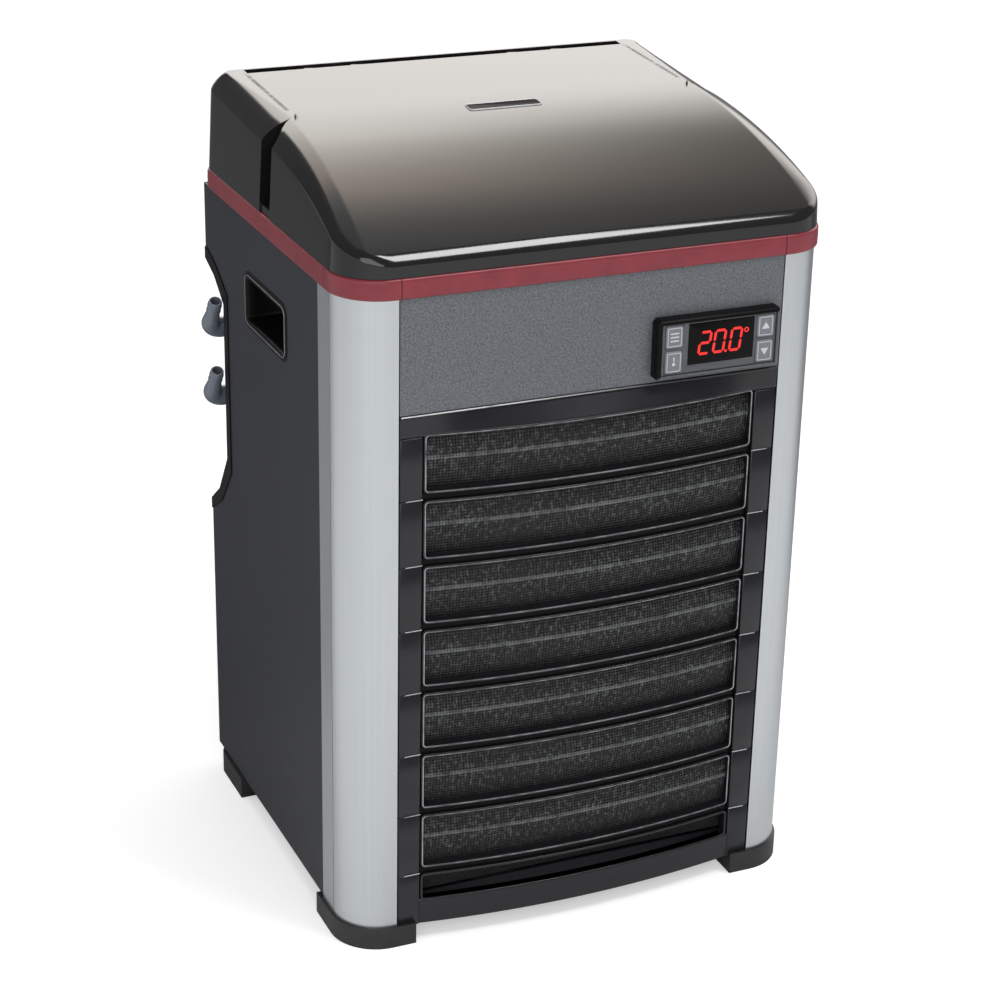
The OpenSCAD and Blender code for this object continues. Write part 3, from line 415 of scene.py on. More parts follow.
# Painted highlight: the rail's top line is light at the left and fades to dark at the right, in patches.
rail_line = Finish("rail_edge", (0.3, 0.31, 0.32), 0.3)
highlight_patches = rail_line.along("X").between(0.075, -0.09) * rail_line.noise(90, 2).between(0.1, 0.5)
rail_line.set("Base Color", rail_line.mix(highlight_patches, (0.03, 0.03, 0.032, 1), (0.62, 0.63, 0.64, 1)))

# Painted highlight: the ridge round the handle recess is light grey in clouds.
rim_line = Finish("rim_highlight_paint", (0.2, 0.204, 0.21), 0.35).clouds(150, 2, 0.4, 1.4)
print(len(bpy.data.materials), "finishes so far")

# %% [markdown]
# Drawn and rolled metals show lines along the way that they were made, so their noise is stretched: the posts
# were pressed through a die from top to bottom, and the copper tubes have dull patches where air has been at
# them.

# %% Metals
post_metal = Finish("satin_aluminium", (0.6, 0.63, 0.645), 0.34, 1.0)
draw_lines = post_metal.noise(700, 3, (1, 1, 0.004))
post_metal.set("Roughness", draw_lines * 0.16 + 0.26)
post_metal.shade(draw_lines, 0.93, 1.05).bump(draw_lines, 0.01, 0.25)

zinc = Finish("galvanised_sheet", (0.5, 0.51, 0.52), 0.4, 0.9).clouds(60, 3, 0.75, 1.1).dull(90, 2, 0.3, 0.25)
copper = Finish("copper_tube", (0.68, 0.33, 0.2), 0.3, 1.0).clouds(60, 4, 0.55, 1.15).dull(120, 3, 0.35, 0.15)
fin_metal = Finish("rolled_fins", (0.6, 0.61, 0.62), 0.32, 1.0)
fin_metal.shade(fin_metal.noise(200, 2, (0.1, 1, 1)), 0.7, 1.1)
bright_steel = Finish("plated_steel", (0.6, 0.6, 0.6), 0.25, 1.0).dull(500, 2, 0.2, 0.15)
titanium = Finish("drawn_titanium", (0.36, 0.34, 0.32), 0.32, 1.0).clouds(80, 3, 0.7, 1.2)
enamel = Finish("stove_enamel", (0.012, 0.012, 0.013), 0.3).grain(260, 0.05, 0.4, 3)
print(len(bpy.data.materials), "finishes so far")

# %% [markdown]
# ## The windows of the grille
# The grille has seven equal windows over a low slot, and in each a mesh bulges forwards to a ridge. These
# heights are worked out here, because the finish of the meshes needs them as well as the mouldings do.

# %% Measure the windows
GRILLE_HALF = (high("grille_frame")[0] - low("grille_frame")[0]) / 2
GRILLE_LOW, GRILLE_TOP = low("grille_frame")[2], high("grille_frame")[2]
BAR_H, RAIL_H, KICK_H, SLOT_H, WINDOWS = 8.0, 15.0, 18.5, 17.0, 7
WINDOW_LOW, RAIL_Z = GRILLE_LOW + KICK_H + SLOT_H + BAR_H, GRILLE_TOP - RAIL_H
PITCH = (RAIL_Z - WINDOW_LOW + BAR_H) / WINDOWS
WINDOW_H = PITCH - BAR_H
window_z = WINDOW_LOW + PITCH * np.arange(WINDOWS)
MESH_LAP, RIDGE_DOWN = 1.2, 0.42  # how far a mesh reaches behind its rim, and the ridge's share from its top
mesh_top = window_z + WINDOW_H + MESH_LAP
ridge_z = mesh_top - RIDGE_DOWN * (WINDOW_H + 2 * MESH_LAP)
print("windows", WINDOW_H, "high at", window_z, "ridges at", ridge_z)

# %% [markdown]
# ## Mesh, foam, rubber and glass
# The window inserts are a moulded grid, and the light that its thin bars catch is painted on as small light
# specks, strongest near the ridge. The ridge of each insert has a painted highlight, a lighter line: its
# distance from a point follows from the height, folded to and fro every half pitch of the windows. The middle
# of the painted highlight lies a hair below the ridge.

# %% The mesh's finish
HIGHLIGHT_BELOW = 0.18
mesh_black = Finish("moulded_mesh", (0.012, 0.0125, 0.014), 0.34)
folded = {0: mesh_black.along("Z") - (ridge_z[0] - HIGHLIGHT_BELOW) * MM, 1: PITCH * MM / 2}
off_ridge = mesh_black.node("Math", {"operation": "PINGPONG"}, folded)
# Painted highlight along each ridge, and painted glints as light specks that are strongest near it.
ridge_highlight_paint = off_ridge.between(0.0019, 0.0002) * mesh_black.noise(150, 2).between(0.1, 0.7)
near_ridge = off_ridge.between(0.021, 0.003) * 0.8 + 0.2
specks = mesh_black.noise(420, 3, (1, 1, 0.7), 0.65).between(0.46, 0.8) * near_ridge
speck_glint_colour = mesh_black.mix(specks, (0.003, 0.0032, 0.0036, 1), (0.105, 0.112, 0.114, 1))
mesh_black.set("Base Color", mesh_black.mix(ridge_highlight_paint, speck_glint_colour, (0.13, 0.135, 0.14, 1)))
mesh_black.set("Roughness", 0.55 - specks * 0.25)
print("the ridge's dust repeats every", PITCH, "mm")

# %% Soft and clear finishes
foam = Finish("open_cell_foam", (0.012, 0.012, 0.013), 0.95)
foam.shade(foam.cells(700), 0.4, 1.8).bump(foam.cells(600), 0.9)
rubber = Finish("moulded_rubber", (0.02, 0.02, 0.02), 0.7).grain(900, 0.05, 0.5)
hose_grey = Finish("water_hose", (0.12, 0.125, 0.13), 0.45).clouds(90, 3, 0.8, 1.2)
tank_white = Finish("tank_moulding", (0.6, 0.59, 0.56), 0.45).clouds(40, 3, 0.9, 1.05).grain(500, 0.03, 0.4)
box_grey = Finish("box_grey", (0.2, 0.205, 0.21), 0.5).grain(900, 0.03, 0.5)
key_grey = Finish("key_cap", (0.16, 0.17, 0.19), 0.45).clouds(900, 2, 0.85, 1.15).grain(1500, 0.02, 0.5)
window_dark = Finish("display_window", (0.002, 0.002, 0.0022), 0.12, **NO_GLARE).dull(90, 2, 0.1, 0.08)
led_red = Finish("lit_digits", (0.3, 0.006, 0.004), 0.4, Emission_Strength=0.85)
glow_red = led_red.mix(led_red.noise(500, 1), (0.9, 0.008, 0.006, 1), (1.0, 0.03, 0.02, 1))
led_red.set("Emission Color", glow_red)
print(len(bpy.data.materials), "finishes in all")

# %% [markdown]
# ## Finishes for the CAD nodes
# Flat sheet metal and the machinery inside keep their CAD shapes. Each gets its finish through its material
# slots, and the record's slot names say which piece is made of what.

# %% Dress the CAD nodes
finish_of_slot = {
    "cabinet_metal": charcoal, "hammered_metal": panel_grey, "zinc_sheet": zinc, "post_metal": post_metal,
    "foot_plastic": foot_black, "band_plastic": band_red, "hood_plastic": hood_black,
    "pin_steel": bright_steel, "badge_plate": badge_dark, "grille_plastic": grille_black,
    "mesh_plastic": mesh_black, "filter_foam": foam, "recess_plastic": recess_black,
    "fitting_plastic": fitting_grey, "bezel_plastic": bezel_grey, "display_glass": window_dark,
    "key_plastic": key_grey, "copper": copper, "fin_metal": fin_metal, "motor_metal": enamel,
    "rotor_plastic": recess_black, "compressor_paint": enamel, "mount_rubber": rubber,
    "terminal_plastic": box_grey, "tank_plastic": tank_white, "titanium": titanium, "pipe_rubber": hose_grey,
}
for entry in frame["record"]["subparts"]:
    mesh = nodes[entry["node"]].data
    mesh.materials.clear()
    mesh.materials.append(finish_of_slot[entry["material_slot"]].material)
print(len(nodes), "CAD nodes dressed")

# %% [markdown]
# ## More helpers for closed shapes
# A moulded part has no knife-sharp corner, so outlines are rounded before anything is made from them. A block
# such as a foot is its outline in plan, swollen a little and pulled in again at its top and bottom edge.


# %% Rounded outlines and swollen blocks
def soft_polygon(points, cut, steps=4):
    """A closed outline with rounded corners: P + (A - P)(1 - sin t) + (C - P)(1 - cos t), where A and C lie at
    a distance cut from the corner P along its sides. It is a true arc at a right angle."""
    p = np.array(points, float)
    cut = np.broadcast_to(np.array(cut, float), len(p))[:, None]
    before, after = np.roll(p, 1, 0) - p, np.roll(p, -1, 0) - p
    a = before / np.linalg.norm(before, axis=1)[:, None] * cut
    c = after / np.linalg.norm(after, axis=1)[:, None] * cut
    t = np.linspace(0, np.pi / 2, steps + 1)[:, None, None]
    out = p + a * (1 - np.sin(t)) + c * (1 - np.cos(t))
    return out.transpose(1, 0, 2).reshape(-1, p.shape[1])


def outward(outline):
    """The outward side at each point of a closed anticlockwise outline: its direction (dx, dy) turned to
    (dy, -dx)."""
    step = np.roll(outline, -1, 0) - np.roll(outline, 1, 0)
    step /= np.linalg.norm(step, axis=1)[:, None]
    return np.stack([step[:, 1], -step[:, 0]], 1)


def block(outline, profile, place):
    """Rings of an outline, each grown and set off by one point (growth, depth) of a profile, then put in space
    by place(u, v, depth)."""
    profile = np.array(profile, float)
    flat = outline[None] + outward(outline)[None] * profile[:, None, :1]
    return place(flat[..., 0], flat[..., 1], np.broadcast_to(profile[:, None, 1], flat.shape[:2]))


def upright(u, v, depth):
    """u and v along X and Y, depth along Z."""
    return np.stack([u, v, depth], -1)


def facing(y):
    """A place function for parts on the front: u and v along X and Z, depth into the cabinet from y."""
    return lambda u, v, depth: np.stack([u, y + depth, v], -1)


def rectangle(x0, x1, z0, z1, cut, steps=4):
    return soft_polygon([(x0, z0), (x1, z0), (x1, z1), (x0, z1)], cut, steps)


print("a rounded square has", len(rectangle(0, 1, 0, 1, 0.2)), "points")

# %% [markdown]
# ## The hood
# The hood is one glossy black moulding that is cut in two. The lid is the whole front half with the panel that
# runs back to the hinge. The rear half is a frame round that panel. Its top rises by three degrees to the back
# and curves down to the front lip on a circle of 400 mm, so its height is a function of depth alone. The walls
# lean in a little, and a slot on each side parts the halves.

# %% The hood's curve
HOOD_HALF = (high("hood_rear")[0] - low("hood_rear")[0]) / 2
HOOD_FRONT, HOOD_BACK, HOOD_H = low("lid")[1], high("hood_rear")[1], 65.0
FRONT_R, BACK_R = CORNER_R + 1, REAR_R + 1
SLOPE, SLOPE_R, SLOPE_Y = np.radians(3), 400.0, FRONT + 169
FLAT_Z = BAND_TOP + HOOD_H - (BACK - SLOPE_Y) * np.tan(SLOPE)
ARC_Y, ARC_Z = SLOPE_Y + SLOPE_R * np.sin(SLOPE), FLAT_Z - SLOPE_R * np.cos(SLOPE)
LEAN = 3.5 / HOOD_H
SLOT_FRONT, SLOT_REAR = FRONT + 137, FRONT + 157
LID_REAR, STRIP_Y, JOINT_X = BACK - 20.9, BACK - 12.5, 137.0


def top_at(y):
    """The hood's height at depth y: a circle of radius SLOPE_R in front of SLOPE_Y, a straight rise behind."""
    curved = ARC_Z + np.sqrt(SLOPE_R**2 - (np.minimum(y, SLOPE_Y) - ARC_Y) ** 2)
    return np.where(y < SLOPE_Y, curved, FLAT_Z + (y - SLOPE_Y) * np.tan(SLOPE))


print("lip", top_at(HOOD_FRONT), "flat from", SLOPE_Y, FLAT_Z, "rear", top_at(HOOD_BACK))

# %% [markdown]
# ## Its shoulder
# Between the upright side and the top lies a shoulder with two soft creases and a nearly flat face between
# them. Its profile is made from its direction: that starts upright, drops quickly at the first crease, falls
# slowly over the face, and drops quickly again to level. Summing up the direction gives the curve.


# %% The shoulder's profile
def turning_profile(corners):
    """Shares of (inward, drop left) along a curve whose direction falls from 90 degrees to 0 through the given
    (share of length, angle) pairs."""
    share, angle = np.array([(0, 90), *corners, (1, 0)]).T
    t = np.unique(np.concatenate([np.linspace(a, b, 7) for a, b in zip(share[:-1], share[1:])]))
    way = np.radians(np.interp((t[1:] + t[:-1]) / 2, share, angle))
    inward = np.append(0, np.cumsum(np.cos(way) * np.diff(t)))
    climb = np.append(0, np.cumsum(np.sin(way) * np.diff(t)))
    return inward / inward[-1], 1 - climb / climb[-1]


INWARD, DROP = turning_profile([(0.14, 58), (0.9, 26)])
LIP_IN, LIP_DOWN, CREASE_R = 5.5, 4.0, 4.0
SIDE_Y = [HOOD_FRONT + LIP_IN + CREASE_R, SLOT_FRONT, SLOT_REAR, HOOD_BACK - BACK_R, HOOD_BACK]
SIDE_IN, SIDE_DOWN = [16.5, 23.5, 24, 15, 12], [4.5, 11.5, 14, 13, 12]


def creased(path, side):
    """The inner crease of the shoulder beside each station: the outline moved in by an amount that depends on
    depth."""
    return path - side * np.interp(path[:, 1], SIDE_Y, SIDE_IN)[:, None]


def hood_skin(path, side, crease, down, inner, slide, runs, foot=0.3):
    """Station i, row j: up the wall, leaning in by LEAN; over the shoulder to its crease; then straight in plan
    to inner. Every height is top_at(y) less the shoulder's drop."""
    k = np.linspace(0, 1, 7)[:-1]
    wall_top = top_at(path[:, 1:]) - down
    lean = LEAN * np.abs(side[:, :1]) * (wall_top - BAND_TOP)
    wall = path[:, None] - side[:, None] * (lean * k)[..., None]
    wall_z = BAND_TOP + foot + (wall_top - BAND_TOP - foot) * k
    start = (path - side * lean)[:, None]
    over = start + (crease[:, None] - start) * INWARD[:, None]
    over[..., 1] += smooth(INWARD) ** 0.9 * np.broadcast_to(slide, len(path))[:, None]
    over_z = top_at(over[..., 1]) - down * DROP
    m = np.linspace(0, 1, runs + 1)[1:, None]
    across = over[:, -1:] + (inner[:, None] - over[:, -1:]) * m
    plan = np.concatenate([wall, over, across], 1)
    rise = np.concatenate([wall_z, over_z, top_at(across[..., 1])], 1)
    return np.concatenate([plan, rise[..., None]], -1)


print("the shoulder's profile has", len(INWARD), "points")

# %% [markdown]
# ## The lid
# The lid's plan is walked from the left grip slot round the front to the right one. At the slots its edge
# sweeps back over the shoulder to a pointed tip. The front stations run inwards to one straight line across,
# with as many points as the rows behind it have, so that no point lies alone on an edge.

# %% Walk the lid's plan
CORNER_Y, HALF_ROWS, TURN, LEG = HOOD_FRONT + FRONT_R, 32, 20, 26
straight_x = HOOD_HALF - FRONT_R
left_leg = leg((-HOOD_HALF, SLOT_FRONT), (-HOOD_HALF, CORNER_Y), LEG)
left_turn = arc((-straight_x, CORNER_Y), FRONT_R, 180, 270, TURN)
front_leg = leg((-straight_x, HOOD_FRONT), (straight_x, HOOD_FRONT), 2 * HALF_ROWS + 3 - 2 * TURN)
left_crease = creased(*left_leg)
crease_x, crease_y = HOOD_HALF - SIDE_IN[0] - CREASE_R, HOOD_FRONT + LIP_IN + CREASE_R
turn_crease, _ = route(
    [v[:-1] for v in leg(left_crease[-1], (-crease_x - CREASE_R, crease_y), 6)],
    arc((-crease_x, crease_y), CREASE_R, 180, 270, 10),
    [v[1:] for v in leg((-crease_x, crease_y - CREASE_R), (-straight_x, crease_y - CREASE_R), 6)],
)
front_crease = front_leg[0] + [0, LIP_IN]
mirror = np.array([-1, 1])
front_path, front_side = route(left_turn, [v[1:-1] for v in front_leg], [v[::-1] * mirror for v in left_turn])
crease = np.concatenate([turn_crease, front_crease[1:-1], turn_crease[::-1] * mirror])
print(len(front_path), "stations round the front,", LEG, "along each side")

# %% [markdown]
# The shoulder's drop changes along the plan: it is deep at the slots and shallow at the front lip. The left
# skin is made once and mirrored, and a panel in line with the circle closes the lid as far as the hinge.

# %% Make the lid
corner_down = np.interp(CORNER_Y, SIDE_Y, SIDE_DOWN)
turn_down = corner_down + (LIP_DOWN - corner_down) * smooth(np.linspace(0, 1, TURN))
lip_down = np.full(len(front_leg[0]) - 2, LIP_DOWN)
front_down = np.concatenate([turn_down, lip_down, turn_down[::-1]])[:, None]
slide = (SLOT_REAR - SLOT_FRONT) * ((left_leg[0][:, 1] - CORNER_Y) / (SLOT_FRONT - CORNER_Y)) ** 2
left_down = np.interp(left_leg[0][:, 1], SIDE_Y, SIDE_DOWN)[:, None]
centre = np.stack([np.zeros(LEG), left_leg[0][:, 1] + slide], 1)
left_skin = hood_skin(*left_leg, left_crease, left_down, centre, slide, HALF_ROWS)
right_skin = (left_skin * [-1, 1, 1])[::-1]
edge_x = np.abs(left_skin[-1, -HALF_ROWS - 1, 0])
targets = np.linspace([-edge_x, CORNER_Y], [edge_x, CORNER_Y], 2 * HALF_ROWS + 1)
front_skin = hood_skin(front_path, front_side, crease, front_down, targets, 0.0, 6)
right_row = left_skin[0, -2 : -HALF_ROWS - 2 : -1] * [-1, 1, 1]
back_row = np.concatenate([left_skin[0, -HALF_ROWS - 1 :], right_row])
panel_x, panel_y = np.meshgrid(back_row[:, 0], np.linspace(SLOT_REAR, LID_REAR, 16), indexing="ij")
lid = Shape().grid(left_skin).grid(front_skin).grid(right_skin)
lid.grid(np.stack([panel_x, panel_y, top_at(panel_y)], -1))
lid.make("lid_skin", [hood_black], "lid", ["lid"], "hood_plastic", wall=3, bevel=0.6)

# %% [markdown]
# ## The rear half of the hood
# This frame goes round the back from slot to slot. Behind each slot stands a closing wall that one sees as
# the dark face of the slot, and at the slot's foot is a small sill on which the lid's edge rests.

# %% Make the rear half
back_x, back_y = HOOD_HALF - BACK_R, HOOD_BACK - BACK_R
rear_legs = [
    leg((HOOD_HALF, SLOT_REAR), (HOOD_HALF, back_y), 22),
    arc((back_x, back_y), BACK_R, 0, 90, 14),
    leg((back_x, HOOD_BACK), (-back_x, HOOD_BACK), 50),
    arc((-back_x, back_y), BACK_R, 90, 180, 14),
    leg((-HOOD_HALF, back_y), (-HOOD_HALF, SLOT_REAR), 22),
]
rear_path, rear_side = route(*rear_legs)
on_side = np.abs(rear_side[:, 0]) > 0.999
inner_x = np.clip(rear_path[:, 0], -JOINT_X, JOINT_X)
inner = np.stack([inner_x, np.where(on_side, rear_path[:, 1], STRIP_Y)], 1)
rear_down = np.interp(rear_path[:, 1], SIDE_Y, SIDE_DOWN)[:, None]
rear_skin = hood_skin(rear_path, rear_side, creased(rear_path, rear_side), rear_down, inner, 0.0, 4, 0.0)
hood_back = Shape().grid(rear_skin)
for end, sign in ((rear_skin[0], 1), (rear_skin[-1], -1)):
    flat_end = end.copy()
    flat_end[:, 0] = sign * JOINT_X
    hood_back.grid(np.linspace(flat_end, end, 5), flip=sign < 0)
hood_back.make("hood_frame", [hood_black], "cabinet", ["hood_rear"], "hood_plastic", wall=3, bevel=0.5)

# %% Make the sills
SILL_H = 5.0
sills = Shape()
for sign in (-1, 1):
    x_out, x_in, z = sign * (HALF_W - 0.4), sign * (HALF_W - 8), BAND_TOP
    sill = soft_polygon([(x_out, z), (x_out, z + SILL_H), (x_in, z + SILL_H), (x_in, z)], [0, 1.2, 1.2, 0])
    run = np.array([SLOT_FRONT + 0.5, SLOT_REAR + 0.5])[:, None] * np.ones(len(sill))
    sills.tube(np.stack([0 * run + sill[:, 0], run, 0 * run + sill[:, 1]], -1))
sills.make("slot_sills", [hood_black], slot="hood_plastic")

# %% [markdown]
# ## The hinge
# Two hinges lie in the groove at the back. Each has one barrel on the lid between two on the frame, round one
# steel pin. A barrel with its tongue is one keyhole outline, carried along X with small chamfers at its ends.

# %% Make the barrels
PIN_Y, PIN_Z = ((low("lid_hinge_pin") + high("lid_hinge_pin")) / 2)[1:]
BARREL_R, HINGE_X = 3.6, 74


def barrel(shape, x0, x1, reach):
    """A keyhole outline in Y and Z: the circle round the pin, and a tongue from its top to y = reach."""
    turn = np.radians(np.linspace(90, -180, 22) if reach < PIN_Y else np.linspace(90, 360, 22))
    round_part = np.stack([PIN_Y + BARREL_R * np.cos(turn), PIN_Z + BARREL_R * np.sin(turn)], 1)
    tongue = np.array([[reach, PIN_Z], [reach, PIN_Z + BARREL_R]])
    keyhole = np.concatenate([round_part, tongue])
    middle = keyhole.mean(0)
    for_x = np.array([[x0, 0.94], [x0 + 0.4, 1], [x1 - 0.4, 1], [x1, 0.94]])
    flat = middle + (keyhole - middle)[None] * for_x[:, 1, None, None]
    across = np.broadcast_to(for_x[:, 0, None, None], flat.shape[:2] + (1,))
    return shape.tube(np.concatenate([across, flat], -1))


lid_barrels, frame_barrels = Shape(), Shape()
for x in (-HINGE_X, HINGE_X):
    barrel(lid_barrels, x - 11, x + 11, LID_REAR - 1)
    barrel(frame_barrels, x - 21.85, x - 11.3, STRIP_Y + 1)
    barrel(frame_barrels, x + 11.3, x + 21.85, STRIP_Y + 1)
lid_barrels.make("lid_hinge_barrels", [hood_black], "lid", slot="hood_plastic")
frame_barrels.make("frame_hinge_barrels", [hood_black], slot="hood_plastic")

# %% [markdown]
# ## The plate on the lid
# The small plate is left bare. It is a thin tile that follows the lid, with a lighter raised rim round a dark
# sunk face.

# %% Make the plate
badge_low, badge_high = low("lid_badge"), high("lid_badge")
badge_half = (badge_high[0] - badge_low[0]) / 2


def on_lid(u, v, depth):
    """u along X and v along Y on the lid, depth measured down from its surface."""
    return np.stack([u, v, top_at(v) - depth], -1)


plate = rectangle(-badge_half, badge_half, badge_low[1], badge_high[1], 2.5)
rim_profile = [(0, 0.4), (0, -0.5), (-0.15, -0.7), (-0.45, -0.7), (-0.6, -0.55), (-0.8, -0.3)]
badge = Shape().grid(block(plate, rim_profile, on_lid), close_cols=True, finish=1)
badge.cap(block(plate, rim_profile[-1:], on_lid)[0]).cap(block(plate, rim_profile[:1], on_lid)[0], True)
badge.make("lid_plate", [badge_dark, print_light], "lid", ["lid_badge"], "badge_plate", sharp=50)

# %% [markdown]
# ## The trim band
# A burgundy band runs round the cabinet between the posts and the hood. It is made of straight lengths and
# four corner pieces that meet in fine open lines. Its section has a crowned face and a broad rounding along
# the top edge, which is what catches the light. One function walks a corner, since all four are a leg, an arc
# and a leg, seen from another side.


# %% The band's section and corners
crown, up = np.linspace(0, np.pi, 7)[1:-1], np.linspace(0.1, 0.9, 5)
band_z = POST_TOP + 1.6 + (BAND_TOP - POST_TOP - 3.4) * up
band_face = np.stack([PROUD - 0.25 + 0.25 * np.sin(crown), band_z], 1)
band_section = np.array([
    (-6, POST_TOP), (PROUD - 1.0, POST_TOP), (PROUD - 0.35, POST_TOP + 0.3), (PROUD - 0.05, POST_TOP + 0.9),
    *band_face,
    (PROUD - 0.1, BAND_TOP - 1.7), (PROUD - 0.5, BAND_TOP - 0.8), (PROUD - 1.2, BAND_TOP - 0.2),
    (PROUD - 2.0, BAND_TOP), (-6, BAND_TOP),
])
BREAK, GAP = 36 - PROUD, 0.25
corner_x, corner_y0, corner_y1 = HALF_W - BREAK, FRONT + BREAK, BACK - BREAK


def corner_run(start, end, middle, radius, angle, legs, steps):
    """A leg from start, a quarter arc round middle from this angle, and a leg to end."""
    bend = arc(middle, radius, angle, angle + 90, steps)
    return [leg(start, bend[0][0], legs), bend, leg(bend[0][-1], end, legs)]


print("band section of", len(band_section), "points")

# %% Make the band
in_x, in_y, rear_x, rear_y = HALF_W - CORNER_R, FRONT + CORNER_R, HALF_W - REAR_R, BACK - REAR_R
left, right, gap_x, gap_y0, gap_y1 = -HALF_W, HALF_W, corner_x + GAP, corner_y0 - GAP, corner_y1 + GAP
band_runs = {
    "trim_front": [leg((-corner_x + GAP, FRONT), (corner_x - GAP, FRONT), 30)],
    "trim_right": [leg((right, corner_y0 + GAP), (right, corner_y1 - GAP), 20)],
    "trim_rear": [leg((corner_x - GAP, BACK), (-corner_x + GAP, BACK), 30)],
    "trim_left": [leg((left, corner_y1 - GAP), (left, corner_y0 + GAP), 20)],
    "trim_corner_front_left": corner_run((left, gap_y0), (-gap_x, FRONT), (-in_x, in_y), CORNER_R, 180, 3, 20),
    "trim_corner_front_right": corner_run((gap_x, FRONT), (right, gap_y0), (in_x, in_y), CORNER_R, 270, 3, 20),
    "trim_corner_rear_right": corner_run((right, gap_y1), (gap_x, BACK), (rear_x, rear_y), REAR_R, 0, 5, 16),
    "trim_corner_rear_left": corner_run((-gap_x, BACK), (left, gap_y1), (-rear_x, rear_y), REAR_R, 90, 5, 16),
}
for name, parts in band_runs.items():
    piece = Shape().tube(carry(band_section, *route(*parts)))
    piece.make(name + "_moulding", [band_red], "cabinet", [name], "band_plastic", sharp=40)

# %% [markdown]
# ## The grille frame
# The front grille is a separate moulding that pulls off. Its bars bow forwards between two upright stiles, so
# one function gives the depth of the bow at any place along X, and every bar, rim and mesh is laid on it.

# %% The bow
BOW_HALF = GRILLE_HALF - 15
BOW = FRONT - low("grille_frame")[1]
SAG = BOW + 0.4
BOW_R = (BOW_HALF**2 + SAG**2) / (2 * SAG)


def bow_y(x):
    """Depth of the bow's face: a circle of radius BOW_R that stands out by BOW in the middle."""
    return FRONT - BOW + BOW_R - np.sqrt(BOW_R**2 - np.clip(x, -BOW_HALF, BOW_HALF) ** 2)


def on_bow(u, v, depth):
    return np.stack([u, bow_y(u) + depth, v], -1)


print("the bow's radius is", BOW_R, "and it stands out by", BOW)

# %% [markdown]
# ## Rims, bars and rail
# Round each window runs a thin rounded rim. Two rims and the sunk web between them make a bar. The rail along
# the top changes from straight to bowed over its height, so its face is ruled between those two lines, and a
# small lip along its top edge catches the light, with a bead on it whose painted highlight shows as a bright
# line. A fine bead with a painted highlight on each rim does the same for the windows, and short ticks carry it
# on over the stiles.


# %% Make the rims and their beads
RIM_W, RIM_HALF, RIM_BACK, RIM_R = 1.8, BOW_HALF - 2.6, 0.33, 1.6
BEAD_R, BEAD_OUT, TICK_R = 0.36, 0.55, 0.35


def round_window(z0, z1, section):
    """A section of (outward, depth) points carried round a window's rounded outline, laid on the bow."""
    x, r = RIM_HALF - RIM_R, RIM_R
    path, side = route(
        leg((-x, z0), (x, z0), 44), arc((x, z0 + r), r, -90, 0, 5), arc((x, z1 - r), r, 0, 90, 5),
        leg((x, z1), (-x, z1), 44), arc((-x, z1 - r), r, 90, 180, 5), arc((-x, z0 + r), r, 180, 270, 5),
    )
    flat = path[None] + side[None] * section[:, None, :1]
    return on_bow(flat[..., 0], flat[..., 1], np.broadcast_to(section[:, None, 1], flat.shape[:2]))


def thin_line(shape, x0, x1, y, z, radius):
    """A thin six-sided line along X."""
    a = np.radians(np.arange(0, 360, 60))
    x = np.array([[x0], [x1]]) + 0 * a
    return shape.tube(np.stack([x, y + radius * np.sin(a) + 0 * x, z + radius * np.cos(a) + 0 * x], -1))


rim_corners = [(RIM_W, RIM_BACK), (RIM_W, 6.5), (0, 6.5), (0, RIM_BACK)]
rim_section = soft_polygon(rim_corners, [0.7, 0.1, 0.1, 0.7])
bead_section = around((BEAD_OUT, RIM_BACK), BEAD_R, 6)
rims, beads, slot_z = Shape(), Shape(), GRILLE_LOW + KICK_H
for z in window_z:
    rims.ring_grid(round_window(z, z + WINDOW_H, rim_section))
    beads.ring_grid(round_window(z, z + WINDOW_H, bead_section))
    for x0, x1 in ((4 - GRILLE_HALF, -BOW_HALF), (BOW_HALF, GRILLE_HALF - 4)):
        thin_line(beads, x0, x1, FRONT, z - BAR_H / 2 - 1, TICK_R)
rims.ring_grid(round_window(slot_z, slot_z + SLOT_H, rim_section))
rims.make("window_rims", [grille_black], "grille", ["grille_frame"], "grille_plastic", sharp=60)
# The beads carry the painted highlight of the rims' edges.
beads.make("rim_beads", [edge_line], "grille", slot="grille_plastic")

# %% Make the webs and the kick plate
span_x = np.linspace(-BOW_HALF, BOW_HALF, 61)


def across_bow(section):
    """Rings of (height, depth) points at many places along X, laid on the bow."""
    x = span_x[:, None] + 0 * section[None, :, 0]
    return on_bow(x, section[None, :, 0] + 0 * x, section[None, :, 1] + 0 * x)


webs = Shape()
for z in window_z:
    z0, z1 = z - BAR_H + 1.2, z - 1.2
    webs.tube(across_bow(soft_polygon([(z0, 7), (z0, 2.4), (z1, 2.4), (z1, 7)], 0.3, 2)))
webs.make("bar_webs", [recess_black], "grille", slot="grille_plastic")

kick_corners = [(GRILLE_LOW, 7), (GRILLE_LOW, 0), (slot_z, 0), (slot_z, 7)]
kick_plate = Shape().tube(across_bow(soft_polygon(kick_corners, [0.3, 1.2, 1.5, 0.3])))
kick_plate.make("kick_plate", [grille_black], "grille", slot="grille_plastic")

